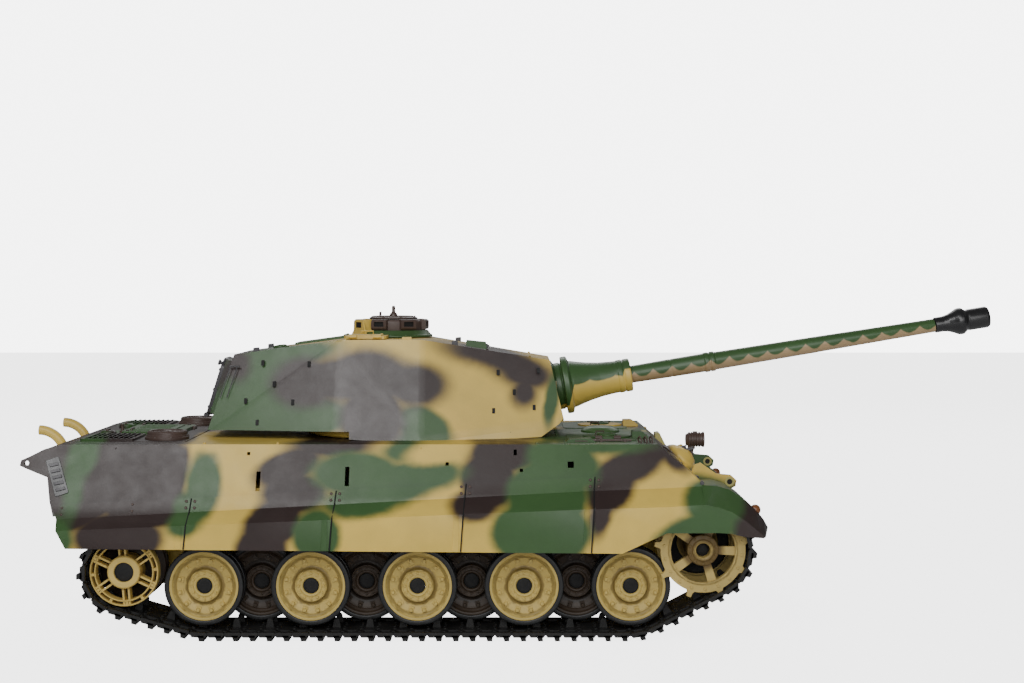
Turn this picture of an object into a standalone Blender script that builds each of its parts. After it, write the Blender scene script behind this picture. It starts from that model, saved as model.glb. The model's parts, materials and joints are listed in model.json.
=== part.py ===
"""Radio-controlled model tank at about 1/16 of full size, as separate pieces.

The shapes are worked out in millimetres and scaled to metres when each object is made.
+X points forwards, +Y to the left and +Z up; the origin is on the ground under the middle of the model.
"""

import math

import bmesh
import bpy
from mathutils import Matrix, Vector

MM = 0.001
RIGHT = -1
LEFT = 1
SIDES = ((RIGHT, "right"), (LEFT, "left"))
GAP = 0.4

# Hull
ROOF_Z = 119.0
ROOF_HALF_WIDTH = 89.0
SIDE_LEAN = math.tan(math.radians(25.0))
HULL_WALL = 2.4
LEANING_WALL = HULL_WALL / math.cos(math.atan(SIDE_LEAN))
GLACIS_TOP_X = 87.5
GLACIS_SLOPE = 0.85
NOSE_X = 145.2
NOSE_HALF_WIDTH = 62.2
SIDE_PLATE_FRONT_X = 112.5
TUB_HALF_WIDTH = 62.0
TUB_WALL = 2.2
BELLY_Z = 27.0
TUB_TOP_Z = 92.6
REAR_TOP_X = -283.0
REAR_SLOPE = 0.396
DECK_X = (-280.0, -210.0)
DECK_HALF_WIDTH = 74.0
INTAKE_X = -225.5
INTAKE_Y = 54.0
EXHAUST_TIP_X = -318.3
EXHAUST_Y = 30.0
EXHAUST_BEND = 20.0
EXHAUST_BEND_Z = 103.5
EXHAUST_RADII = (3.2, 2.2)
GUARD_HALF_WIDTH = 9.0
REAR_DOOR_SPAN = (9.5, 49.5)
REAR_DOOR_THICKNESS = 3.2
REAR_PAD = 5.6

# Skirts and front fenders
SKIRT_Y = 118.0
SKIRT_PROUD = 1.8
SKIRT_THICKNESS = 1.2
FENDER_FLAT_Y = 103.0

# Running gear
WHEEL_RADIUS = 24.5
WHEEL_HALF_WIDTH = 8.0
WHEEL_Z = 32.0
WHEEL_PITCH = 33.0
FIRST_WHEEL_X = -194.1
WHEELS_PER_SIDE = 9
OUTER_WHEEL_Y = 92.6
INNER_WHEEL_Y = 75.6
AXLE_RADIUS = 3.0
AXLE_BORE = 3.5
ARM_LENGTH = 17.0
ARM_RISE = 4.0
ARM_Y = (62.5, 67.2)
SPROCKET_X = 113.7
SPROCKET_Z = 55.4
SPROCKET_RING = (19.8, 26.1)
SPROCKET_TIP = 30.1
SPROCKET_TEETH = 9
SPROCKET_FIRST_TOOTH = math.radians(213.0)
TOOTH_PLANES = ((102.4, 105.9), (70.4, 73.9))
IDLER_X = -242.5
IDLER_Z = 41.5
IDLER_RIM = (17.6, 21.3)
SHAFT_RADIUS = 3.5
SHAFT_BORE = 4.4
SHAFT_END_Y = 57.0
TRACK_Y = (62.8, 110.4)
TRACK_CLEARANCE = 0.35
TRACK_THICKNESS = 6.2
TOOTH_GROOVE = 4.3
TOOTH_SIDE_PLAY = 0.8

# Turret and gun
TURRET_X = -79.6
TURRET_FLOOR_Z = 119.6
BUSTLE_FLOOR_Z = 124.4
TURRET_WALL = 2.5
RING_RADIUS = 56.0
DRUM_RADIUS = 61.0
GUN_PIVOT = Vector((14.4, 0.0, 147.5))
GUN_ELEVATION = math.radians(9.22)
GUN_AXIS = Vector((math.cos(GUN_ELEVATION), 0.0, math.sin(GUN_ELEVATION)))
MUZZLE_S = 307.1
BRAKE_S = 270.4
CUPOLA_X = -84.6
CUPOLA_Y = 16.0
TURRET_ROOF_Z = 182.4

SAND = ("sand_yellow", (0.60, 0.48, 0.25), 0.42, 0.0)
GREEN = ("leaf_green", (0.11, 0.19, 0.08), 0.42, 0.0)
BROWN = ("chocolate_brown", (0.07, 0.045, 0.045), 0.42, 0.0)
BLACK = ("black_plastic", (0.01, 0.01, 0.01), 0.35, 0.0)
TRACK_BLACK = ("track_black", (0.018, 0.016, 0.015), 0.6, 0.0)
STEEL = ("steel_pin", (0.35, 0.35, 0.36), 0.35, 1.0)
BOARD = ("circuit_board", (0.02, 0.16, 0.06), 0.5, 0.0)
BATTERY = ("battery_wrap", (0.03, 0.05, 0.22), 0.4, 0.0)


def clear_scene():
    for obj in list(bpy.data.objects):
        bpy.data.objects.remove(obj, do_unlink=True)


def material(recipe):
    name, colour, roughness, metallic = recipe
    found = bpy.data.materials.get(name)
    if found:
        return found
    made = bpy.data.materials.new(name)
    made.use_nodes = True
    shader = made.node_tree.nodes["Principled BSDF"]
    shader.inputs["Base Color"].default_value = (*colour, 1.0)
    shader.inputs["Roughness"].default_value = roughness
    shader.inputs["Metallic"].default_value = metallic
    made.diffuse_color = (*colour, 1.0)
    return made


def mesh_from(shape, name, recipe, origin):
    """The mesh of a shape in millimetres, scaled to metres about its origin."""
    bmesh.ops.translate(shape, verts=shape.verts, vec=-Vector(origin))
    bmesh.ops.scale(shape, verts=shape.verts, vec=(MM, MM, MM))
    mesh = bpy.data.meshes.new(name)
    shape.to_mesh(mesh)
    shape.free()
    mesh.shade_smooth()
    mesh.set_sharp_from_angle(angle=math.radians(35.0))
    mesh.materials.append(material(recipe))
    return mesh


def place(name, mesh, origin=(0.0, 0.0, 0.0)):
    obj = bpy.data.objects.new(name, mesh)
    obj.location = Vector(origin) * MM
    bpy.context.scene.collection.objects.link(obj)
    return obj


def add_piece(name, shape, recipe, origin=(0.0, 0.0, 0.0)):
    return place(name, mesh_from(shape, name, recipe, origin), origin)


# Shapes


def outward(shape):
    bmesh.ops.recalc_face_normals(shape, faces=shape.faces)
    return shape


def skin(rings, closed_along, closed_round=True):
    """A surface through rings of points; a ring is closed, and so is the run of rings if closed_along."""
    shape = bmesh.new()
    made = [[shape.verts.new(point) for point in ring] for ring in rings]
    count = len(made[0])
    pairs = list(zip(made, made[1:]))
    if closed_along:
        pairs.append((made[-1], made[0]))
    steps = range(count if closed_round else count - 1)
    for first, second in pairs:
        for i in steps:
            j = (i + 1) % count
            shape.faces.new((first[i], first[j], second[j], second[i]))
    if closed_round and not closed_along:
        shape.faces.new(made[0])
        shape.faces.new(made[-1])
    return outward(shape)


def prism(outline, low, high, axis="Y"):
    """An outline extruded along an axis: (x, z) along Y, (x, y) along Z, or (y, z) along X."""
    order = {
        "X": lambda u, v, w: (w, u, v),
        "Y": lambda u, v, w: (u, w, v),
        "Z": lambda u, v, w: (u, v, w),
    }[axis]
    rings = [[order(u, v, w) for u, v in outline] for w in (low, high)]
    return skin(rings, closed_along=False)


def box(low, high):
    outline = ((low[0], low[1]), (high[0], low[1]), (high[0], high[1]), (low[0], high[1]))
    return prism(outline, low[2], high[2], axis="Z")


def frame_on(centre, direction):
    turn = Vector(direction).to_track_quat("Z", "Y").to_matrix().to_4x4()
    return Matrix.Translation(Vector(centre)) @ turn


def turned(profile, centre, direction, steps=18):
    """A closed profile of (radius, along) points turned about an axis; the radii stay above zero."""
    matrix = frame_on(centre, direction)
    rings = []
    for i in range(steps):
        angle = 2 * math.pi * i / steps
        c, s = math.cos(angle), math.sin(angle)
        rings.append([matrix @ Vector((r * c, r * s, a)) for r, a in profile])
    return skin(rings, closed_along=True)


def rod(radius, low, high, centre, direction, steps=12):
    """A plain cylinder along an axis, from low to high along it."""
    matrix = frame_on(centre, direction)
    rings = []
    for along in (low, high):
        angles = [2 * math.pi * i / steps for i in range(steps)]
        rings.append([matrix @ Vector((radius * math.cos(t), radius * math.sin(t), along)) for t in angles])
    return skin(rings, closed_along=False)


def hull_of(points):
    shape = bmesh.new()
    for point in points:
        shape.verts.new(point)
    found = bmesh.ops.convex_hull(shape, input=shape.verts)
    unused = [v for v in found["geom_interior"] if isinstance(v, bmesh.types.BMVert)]
    bmesh.ops.delete(shape, geom=unused, context="VERTS")
    bmesh.ops.dissolve_limit(shape, angle_limit=0.001, verts=shape.verts, edges=shape.edges)
    return outward(shape)


def scratch(shape, name):
    mesh = bpy.data.meshes.new(name)
    shape.to_mesh(mesh)
    shape.free()
    obj = bpy.data.objects.new(name, mesh)
    obj.hide_render = True
    obj.display_type = "WIRE"
    bpy.context.scene.collection.objects.link(obj)
    return obj


def evaluated_shape(obj):
    bpy.context.view_layer.update()
    graph = bpy.context.evaluated_depsgraph_get()
    mesh = bpy.data.meshes.new_from_object(obj.evaluated_get(graph))
    shape = bmesh.new()
    shape.from_mesh(mesh)
    bpy.data.meshes.remove(mesh)
    return shape


def drop(objects):
    for obj in objects:
        mesh = obj.data
        bpy.data.objects.remove(obj, do_unlink=True)
        bpy.data.meshes.remove(mesh)


def combine(base, tools, operation):
    target = scratch(base, "target")
    used = [scratch(tool, "tool") for tool in tools]
    for tool in used:
        modifier = target.modifiers.new("boolean", "BOOLEAN")
        modifier.operation = operation
        modifier.solver = "EXACT"
        modifier.object = tool
    shape = evaluated_shape(target)
    drop([target, *used])
    return shape


def joined(base, *tools):
    return combine(base, tools, "UNION")


def cut(base, *tools):
    return combine(base, tools, "DIFFERENCE")


def sheet(rows, thickness):
    """A thin plate whose outer face runs through the rows of points, with its thickness on the inner side."""
    shape = skin(rows, closed_along=False, closed_round=False)
    middle = sum((v.co for v in shape.verts), Vector()) / len(shape.verts)
    facing = sum(f.normal.dot(f.calc_center_median() - Vector((middle.x, 0.0, 0.0))) for f in shape.faces)
    if facing < 0:
        bmesh.ops.reverse_faces(shape, faces=shape.faces)
    target = scratch(shape, "sheet")
    modifier = target.modifiers.new("thickness", "SOLIDIFY")
    modifier.thickness = thickness
    modifier.offset = -1.0
    modifier.use_even_offset = True
    made = evaluated_shape(target)
    drop([target])
    return outward(made)


# Hull


def side_y(z):
    """Half width of the hull at a height, to the outer face of its leaning side plates."""
    return ROOF_HALF_WIDTH + (ROOF_Z - z) * SIDE_LEAN


def glacis_z(x):
    return ROOF_Z - GLACIS_SLOPE * (x - GLACIS_TOP_X)


def rear_x(z):
    return REAR_TOP_X + (ROOF_Z - 2.0 - z) * REAR_SLOPE


def leaning_block(outline, inset):
    """An (x, z) outline spanning the hull between its leaning sides, less an inset on each side."""
    rings = [[(x, side * (side_y(z) - inset), z) for x, z in outline] for side in (RIGHT, LEFT)]
    return skin(rings, closed_along=False)


def upper_hull():
    outside = (
        (-284.0, ROOF_Z),
        (-294.8, 116.0),
        (-303.0, 111.8),
        (-308.0, 109.6),
        (-308.6, 106.4),
        (-304.0, 104.4),
        (-290.6, 99.4),
        (-287.7, 85.5),
        (-284.6, 76.6),
        (39.0, 92.0),
        (SIDE_PLATE_FRONT_X, 94.6),
        (SIDE_PLATE_FRONT_X, glacis_z(SIDE_PLATE_FRONT_X)),
        (GLACIS_TOP_X, ROOF_Z),
    )
    drop_z = HULL_WALL * math.hypot(1.0, GLACIS_SLOPE)
    inner_top_x = GLACIS_TOP_X - (drop_z - HULL_WALL) / GLACIS_SLOPE
    inside = (
        (-330.0, ROOF_Z - HULL_WALL),
        (inner_top_x, ROOF_Z - HULL_WALL),
        (130.0, glacis_z(130.0) - drop_z),
        (130.0, 60.0),
        (-330.0, 60.0),
    )
    shell = cut(leaning_block(outside, 0.0), leaning_block(inside, LEANING_WALL))
    nose_start = SIDE_PLATE_FRONT_X - 8.0
    nose = prism(
        (
            (nose_start, glacis_z(nose_start) - 0.02),
            (NOSE_X, glacis_z(NOSE_X)),
            (NOSE_X - 1.6, glacis_z(NOSE_X) - 1.4),
            (nose_start, glacis_z(nose_start) - drop_z),
        ),
        -NOSE_HALF_WIDTH,
        NOSE_HALF_WIDTH,
    )
    additions = [nose]
    tow_plate = (
        (111.0, glacis_z(111.0) - 1.0),
        (113.0, 103.0),
        (117.0, 104.5),
        (127.0, 97.5),
        (136.5, 96.6),
        (140.0, 93.4),
        (139.4, 89.6),
        (136.0, 87.6),
        (128.0, glacis_z(128.0) - 1.0),
    )
    for side, _ in SIDES:
        low, high = sorted((side * 58.6, side * 62.0))
        additions.append(prism(tow_plate, low, high))
    normal = Vector((GLACIS_SLOPE, 0.0, 1.0)).normalized()
    dome_centre = Vector((106.0, -36.0, glacis_z(106.0)))
    dome = [(0.6, -1.0), (11.0, -1.0), (10.4, 3.0), (7.6, 6.4), (3.6, 8.4), (0.6, 8.9)]
    additions.append(turned(dome, dome_centre, normal, 14))
    shell = joined(shell, *additions)
    cutters = [
        rod(RING_RADIUS + 2.0, 100.0, 140.0, (TURRET_X, 0.0, 0.0), (0, 0, 1), 32),
        box(
            (DECK_X[0] - GAP, -DECK_HALF_WIDTH - GAP, 100.0),
            (DECK_X[1] + GAP, DECK_HALF_WIDTH + GAP, 140.0),
        ),
    ]
    for x, z in ((-304.4, 107.8), (135.5, 92.4)):
        cutters.append(rod(1.5, -140.0, 140.0, (x, 0.0, z), (0, 1, 0), 10))
    add_piece("upper_hull", cut(shell, *cutters), GREEN)


def wheel_stations():
    """(number, x, is_outer) of each road wheel on one side, from the rear."""
    for i in range(WHEELS_PER_SIDE):
        yield i + 1, FIRST_WHEEL_X + i * WHEEL_PITCH, i % 2 == 0


def arm_pivot(x):
    return x + ARM_LENGTH, WHEEL_Z + ARM_RISE


def lower_hull():
    outside = (
        (-250.0, BELLY_Z),
        (93.0, BELLY_Z),
        (142.0, 69.6),
        (115.4, 91.6),
        (114.0, TUB_TOP_Z),
        (-269.0, TUB_TOP_Z),
        (-258.5, 64.0),
    )
    inside = (
        (-247.5, BELLY_Z + TUB_WALL),
        (92.1, BELLY_Z + TUB_WALL),
        (139.0, 70.0),
        (144.0, 85.0),
        (144.0, 99.0),
        (-300.0, 99.0),
        (-300.0, 62.0),
        (-255.9, 62.0),
    )
    inner = TUB_HALF_WIDTH - TUB_WALL
    tub = prism(outside, -TUB_HALF_WIDTH, TUB_HALF_WIDTH)
    sponsons = [
        box((-268.0, min(side * 61.0, side * 98.0), 91.0), (111.0, max(side * 61.0, side * 98.0), TUB_TOP_Z))
        for side, _ in SIDES
    ]
    shell = cut(joined(tub, *sponsons), prism(inside, -inner, inner))
    holes = [
        rod(SHAFT_BORE, -80.0, 80.0, (SPROCKET_X, 0.0, SPROCKET_Z), (0, 1, 0), 12),
        rod(SHAFT_BORE, -80.0, 80.0, (IDLER_X, 0.0, IDLER_Z), (0, 1, 0), 12),
    ]
    for _, x, _ in wheel_stations():
        pivot_x, pivot_z = arm_pivot(x)
        holes.append(rod(AXLE_BORE, -80.0, 80.0, (pivot_x, 0.0, pivot_z), (0, 1, 0), 8))
    add_piece("lower_hull", cut(shell, *holes), SAND)


def exhaust_pipe(side):
    """A pipe that rises behind the rear plate and bends backwards at its top."""
    route = [Vector((EXHAUST_TIP_X + EXHAUST_BEND + 3.0, side * EXHAUST_Y, 90.0))]
    for i in range(6):
        angle = math.radians(90.0 * i / 5)
        x = EXHAUST_TIP_X + EXHAUST_BEND * math.cos(angle)
        z = EXHAUST_BEND_Z + EXHAUST_BEND * math.sin(angle)
        route.append(Vector((x, side * EXHAUST_Y, z)))
    across = Vector((0.0, 1.0, 0.0))
    outside, inside = [], []
    for i, point in enumerate(route):
        along = (route[min(i + 1, len(route) - 1)] - route[max(i - 1, 0)]).normalized()
        up = along.cross(across)
        for radius, rings in zip(EXHAUST_RADII, (outside, inside)):
            turns = [2 * math.pi * k / 8 for k in range(8)]
            rings.append([point + radius * (math.cos(t) * across + math.sin(t) * up) for t in turns])
    bore_start = 4
    return skin(outside + inside[bore_start:][::-1], closed_along=False)


def rear_plate():
    thickness = 2.6
    shoulder_z = 93.6
    line = [(rear_x(z), z) for z in (ROOF_Z - HULL_WALL - GAP, 64.5)]
    slab = [*line, *[(x + thickness, z) for x, z in reversed(line)]]
    shape = leaning_block(slab, LEANING_WALL + GAP)
    for side, _ in SIDES:
        low, high = sorted((side * TUB_HALF_WIDTH, side * 130.0))
        shape = cut(shape, box((-300.0, low, 50.0), (-240.0, high, shoulder_z)))
    guard_outline = ((-264.0, 72.0), (-284.0, 74.0), (-302.0, 86.0), (-302.5, 96.0), (-275.0, 100.0))
    for side, _ in SIDES:
        middle = side * EXHAUST_Y
        guard = prism(guard_outline, middle - GUARD_HALF_WIDTH, middle + GUARD_HALF_WIDTH)
        shape = joined(shape, guard, exhaust_pipe(side))
    add_piece("rear_plate", shape, SAND)


def engine_deck():
    low_z = ROOF_Z - HULL_WALL + 0.1
    top_z = ROOF_Z + 0.3
    shape = box((DECK_X[0], -DECK_HALF_WIDTH, low_z), (DECK_X[1], DECK_HALF_WIDTH, top_z))
    additions = [box((-262.0, -26.0, top_z - 0.5), (-222.0, 26.0, top_z + 1.6))]
    for side, _ in SIDES:
        stack = [(0.8, -1.0), (14.0, -1.0), (14.0, 1.6), (12.6, 1.8), (12.6, 3.8), (9.0, 5.4), (0.8, 5.4)]
        additions.append(turned(stack, (INTAKE_X, side * INTAKE_Y, top_z), (0, 0, 1), 16))
        low, high = sorted((side * 34.0, side * 71.0))
        additions.append(box((-277.0, low, top_z - 0.5), (-244.0, high, top_z + 1.5)))
    add_piece("engine_deck", joined(shape, *additions), GREEN)


def side_skirt(side):
    """The bent side plate with the curved fender over the front of the track."""

    def point(x, y, z):
        return (x, side * y, z)

    def hull_point(x, z):
        return point(x, side_y(z) + SKIRT_PROUD, z)

    strip = (
        ((-285.5, 83.5), (-281.9, 75.3), (-280.6, 69.2), (-274.9, 58.2)),
        ((39.0, 99.6), (39.0, 91.4), (39.0, 82.2), (39.0, 55.5)),
        ((63.3, 100.8), (63.3, 92.2), (63.3, 82.9), (63.3, 55.3)),
        ((90.4, 102.2), (90.4, 93.2), (90.4, 83.7), (90.4, 67.7)),
        ((105.0, 102.6), (105.0, 94.0), (105.0, 84.6), (105.0, 67.8)),
        ((114.4, 96.6), (114.4, 94.4), (114.4, 85.0), (114.4, 67.8)),
    )
    rows = []
    for top, fold, crease, foot in strip:
        lower = [point(x, SKIRT_Y, z) for x, z in (crease, foot)]
        rows.append([hull_point(*top), hull_point(*fold), *lower])
    skirt = sheet(rows, SKIRT_THICKNESS)
    fender = (
        ((113.2, 95.2), (113.2, 85.1), (113.2, 67.8)),
        ((122.0, 94.8), (122.0, 83.4), (122.0, 67.9)),
        ((130.0, 92.5), (130.0, 80.6), (129.5, 67.4)),
        ((138.6, 87.2), (138.0, 75.4), (136.3, 65.8)),
        ((146.4, 80.0), (143.6, 70.8), (141.2, 65.1)),
        ((151.0, 74.5), (147.4, 67.6), (145.4, 64.9)),
        ((153.9, 69.3), (150.4, 65.4), (149.2, 64.6)),
    )
    inner_y = NOSE_HALF_WIDTH + 0.6
    edge_y = SKIRT_Y - 0.15
    rows = []
    for (top_x, top_z), crease, foot in fender:
        lower = [point(x, edge_y, z) for x, z in (crease, foot)]
        rows.append([point(top_x, inner_y, top_z), point(top_x, FENDER_FLAT_Y, top_z), *lower])
    return joined(skirt, sheet(rows, SKIRT_THICKNESS))


def headlight():
    body = turned(
        [(0.6, -6.2), (4.4, -6.2), (5.2, -3.0), (5.2, 6.0), (4.4, 6.6), (0.6, 6.6)],
        (119.7, 0.0, 113.6),
        (1, 0, 0),
        14,
    )
    stem_x = 117.6
    stem = rod(1.6, glacis_z(stem_x) + 1.8, 110.0, (stem_x, 0.0, 0.0), (0, 0, 1), 8)
    foot = rod(3.2, glacis_z(stem_x) + 3.3, glacis_z(stem_x) + 4.6, (stem_x, 0.0, 0.0), (0, 0, 1), 10)
    add_piece("headlight", joined(body, stem, foot), BROWN)


# Running gear


def belt_path(circles, step):
    """(point, outward normal) along a belt's inner face round circles of (x, z, radius), clockwise."""

    def leaving(first, second):
        dx, dz = second[0] - first[0], second[1] - first[1]
        return math.atan2(dz, dx) + math.acos((first[2] - second[2]) / math.hypot(dx, dz))

    path = []
    count = len(circles)
    for i, circle in enumerate(circles):
        start = leaving(circles[i - 1], circle)
        end = leaving(circle, circles[(i + 1) % count])
        while end > start:
            end -= 2 * math.pi
        pieces = max(1, math.ceil((start - end) / step))
        for k in range(pieces + 1):
            angle = start + (end - start) * k / pieces
            normal = Vector((math.cos(angle), 0.0, math.sin(angle)))
            centre = Vector((circle[0], 0.0, circle[1]))
            path.append((centre + circle[2] * normal, normal))
    return path


def track(side):
    last_outer_x = FIRST_WHEEL_X + (WHEELS_PER_SIDE - 1) * WHEEL_PITCH
    circles = (
        (SPROCKET_X, SPROCKET_Z, SPROCKET_RING[1] + TRACK_CLEARANCE),
        (last_outer_x, WHEEL_Z, WHEEL_Z - TRACK_THICKNESS),
        (FIRST_WHEEL_X, WHEEL_Z, WHEEL_Z - TRACK_THICKNESS),
        (IDLER_X, IDLER_Z, IDLER_RIM[1] + TRACK_CLEARANCE),
    )
    section = [(TRACK_Y[0], 0.0)]
    for tooth_low, tooth_high in reversed(TOOTH_PLANES):
        low = tooth_low - TOOTH_SIDE_PLAY
        high = tooth_high + TOOTH_SIDE_PLAY
        section += [(low, 0.0), (low, TOOTH_GROOVE), (high, TOOTH_GROOVE), (high, 0.0)]
    section += [(TRACK_Y[1], 0.0), (TRACK_Y[1], TRACK_THICKNESS), (TRACK_Y[0], TRACK_THICKNESS)]
    rings = []
    for point, normal in belt_path(circles, math.radians(15.0)):
        rings.append([point + depth * normal + Vector((0.0, side * y, 0.0)) for y, depth in section])
    return skin(rings, closed_along=True)


def road_wheel(side):
    """A dished wheel about its own centre, its open face pointing away from the hull."""
    profile = [
        (AXLE_BORE, -WHEEL_HALF_WIDTH),
        (WHEEL_RADIUS, -WHEEL_HALF_WIDTH),
        (WHEEL_RADIUS, WHEEL_HALF_WIDTH),
        (20.5, WHEEL_HALF_WIDTH),
        (11.0, 4.0),
        (AXLE_BORE, 4.0),
    ]
    return turned(profile, (0, 0, 0), (0, side, 0), 18)


def swing_arm(side, is_outer):
    """A trailing arm about its own pivot: lever, pivot stub into the hull and axle for the wheel."""
    axle = Vector((-ARM_LENGTH, 0.0, -ARM_RISE))
    lean = math.atan2(ARM_RISE, ARM_LENGTH)
    outline = []
    for x, z, radius, first in ((0.0, 0.0, 5.6, -90.0), (axle.x, axle.z, 4.8, 90.0)):
        for i in range(5):
            angle = math.radians(first + 45.0 * i) + lean
            outline.append((x + radius * math.cos(angle), z + radius * math.sin(angle)))
    low, high = sorted((side * ARM_Y[0], side * ARM_Y[1]))
    lever = prism(outline, low, high)
    reach = (OUTER_WHEEL_Y if is_outer else INNER_WHEEL_Y) + 5.0
    pin = rod(AXLE_RADIUS, ARM_Y[0] + 1.0, reach, axle, (0, side, 0), 8)
    stub = rod(AXLE_RADIUS, ARM_Y[0] - 5.0, ARM_Y[1] - 1.0, (0, 0, 0), (0, side, 0), 8)
    return joined(lever, pin, stub)


def toothed_outline():
    points = []
    half = math.pi / SPROCKET_TEETH
    root = SPROCKET_RING[1]
    tooth = ((-0.085, root), (-0.04, SPROCKET_TIP), (0.04, SPROCKET_TIP), (0.085, root), (half, root))
    for k in range(SPROCKET_TEETH):
        middle = SPROCKET_FIRST_TOOTH + 2 * half * k
        for offset, radius in tooth:
            angle = middle + offset
            points.append((radius * math.cos(angle), radius * math.sin(angle)))
    return points


def sprocket(side):
    """The driven sprocket about its own centre: a spoked toothed ring and a plain inner plate on one drum."""
    shapes = []
    outer, inner = TOOTH_PLANES
    low, high = sorted((side * outer[0], side * outer[1]))
    opening = rod(SPROCKET_RING[0], -140.0, 140.0, (0, 0, 0), (0, 1, 0), 18)
    ring = cut(prism(toothed_outline(), low, high), opening)
    for k in range(5):
        angle = math.radians(142.6 + 72.0 * k)
        along = Vector((math.cos(angle), math.sin(angle)))
        across = Vector((-along.y, along.x)) * 2.7
        outline = [tuple(along * r + across * w) for r, w in ((8.0, -1), (21.0, -1), (21.0, 1), (8.0, 1))]
        spoke_low, spoke_high = sorted((side * (outer[0] + 0.2), side * (outer[1] - 0.5)))
        shapes.append(prism(outline, spoke_low, spoke_high))
    face = outer[1] + 1.5
    drum = turned(
        [
            (4.4, 96.0), (4.4, face), (9.8, face), (9.8, inner[1] - 1.0), (SHAFT_RADIUS, inner[1] - 3.0),
            (SHAFT_RADIUS, SHAFT_END_Y), (1.0, SHAFT_END_Y), (1.0, 96.0),
        ],
        (0, 0, 0),
        (0, side, 0),
        12,
    )
    plate = rod(SPROCKET_RING[1], inner[0], inner[1], (0, 0, 0), (0, side, 0), 20)
    return joined(plate, drum, *shapes, ring)


def idler(side):
    """The rear idler about its own centre: two rims on one hub, the outer one with six spokes."""
    rim = turned(
        [(IDLER_RIM[0], 96.0), (IDLER_RIM[1], 96.0), (IDLER_RIM[1], 103.6), (IDLER_RIM[0], 103.6)],
        (0, 0, 0),
        (0, side, 0),
        20,
    )
    radius = IDLER_RIM[1]
    hub = turned(
        [
            (5.9, 88.0), (5.9, 104.2), (10.2, 104.2), (10.2, 80.0), (radius, 79.0), (radius, 71.0),
            (SHAFT_RADIUS, 70.0), (SHAFT_RADIUS, SHAFT_END_Y), (1.0, SHAFT_END_Y), (1.0, 88.0),
        ],
        (0, 0, 0),
        (0, side, 0),
        20,
    )
    spokes = []
    for k in range(6):
        angle = math.radians(35.0 + 60.0 * k)
        along = Vector((math.cos(angle), math.sin(angle)))
        across = Vector((-along.y, along.x)) * 2.2
        outline = [tuple(along * r + across * w) for r, w in ((9.0, -1), (18.6, -1), (18.6, 1), (9.0, 1))]
        low, high = sorted((side * 96.8, side * 102.9))
        spokes.append(prism(outline, low, high))
    return joined(hub, rim, *spokes)


def running_gear():
    for side, word in SIDES:
        add_piece(f"track_{word}", track(side), TRACK_BLACK)
        mesh = mesh_from(sprocket(side), f"drive_sprocket_{word}", SAND, (0, 0, 0))
        place(f"drive_sprocket_{word}", mesh, (SPROCKET_X, 0.0, SPROCKET_Z))
        mesh = mesh_from(idler(side), f"idler_wheel_{word}", SAND, (0, 0, 0))
        place(f"idler_wheel_{word}", mesh, (IDLER_X, 0.0, IDLER_Z))
        wheel_mesh = mesh_from(road_wheel(side), f"road_wheel_{word}", SAND, (0, 0, 0))
        arm_meshes = {
            is_outer: mesh_from(swing_arm(side, is_outer), f"swing_arm_{word}", STEEL, (0, 0, 0))
            for is_outer in (True, False)
        }
        for number, x, is_outer in wheel_stations():
            wheel_y = OUTER_WHEEL_Y if is_outer else INNER_WHEEL_Y
            place(f"road_wheel_{word}_{number}", wheel_mesh, (x, side * wheel_y, WHEEL_Z))
            pivot_x, pivot_z = arm_pivot(x)
            place(f"swing_arm_{word}_{number}", arm_meshes[is_outer], (pivot_x, 0.0, pivot_z))


# Turret


def turret_points(wall):
    """Corners of the turret's outer faces, or of its inner faces for a wall thickness."""
    corners = (
        (-122.5, 49.0, TURRET_FLOOR_Z),
        (-37.0, 64.0, TURRET_FLOOR_Z),
        (18.0, 64.0, TURRET_FLOOR_Z),
        (95.0, 46.0, TURRET_FLOOR_Z),
        (110.0, 41.0, 130.0),
        (-106.0, 33.0, 172.6),
        (-35.0, 43.0, TURRET_ROOF_Z),
        (18.0, 42.0, TURRET_ROOF_Z),
        (100.8, 29.5, 168.8),
    )
    points = []
    for x, y, z in corners:
        inner_x = x - math.copysign(wall * (1.15 if abs(x) > 50.0 else 0.0), x)
        inner_z = z - wall if z > 150.0 else z
        for side in (RIGHT, LEFT):
            points.append((TURRET_X + inner_x, side * (y - 1.1 * wall), inner_z))
    return points


def rear_axes():
    """The foot of the turret's leaning rear plate, the way up it and the way out of it."""
    foot = Vector((TURRET_X - 122.5, 0.0, TURRET_FLOOR_Z))
    along = (Vector((TURRET_X - 106.0, 0.0, 172.6)) - foot).normalized()
    return foot, along, Vector((-along.z, 0.0, along.x))


def rear_point(up, out):
    """(x, z) at a distance up the rear plate and out from it."""
    foot, along, away = rear_axes()
    point = foot + along * up + away * out
    return point.x, point.z


def rear_pad():
    start, end = REAR_DOOR_SPAN
    outline = [rear_point(s, t) for s, t in ((start + 3.0, -1.0), (end, -1.0), (end, REAR_PAD), (start + 3.0, REAR_PAD))]
    return prism(outline, -16.5, 16.5)


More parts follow.
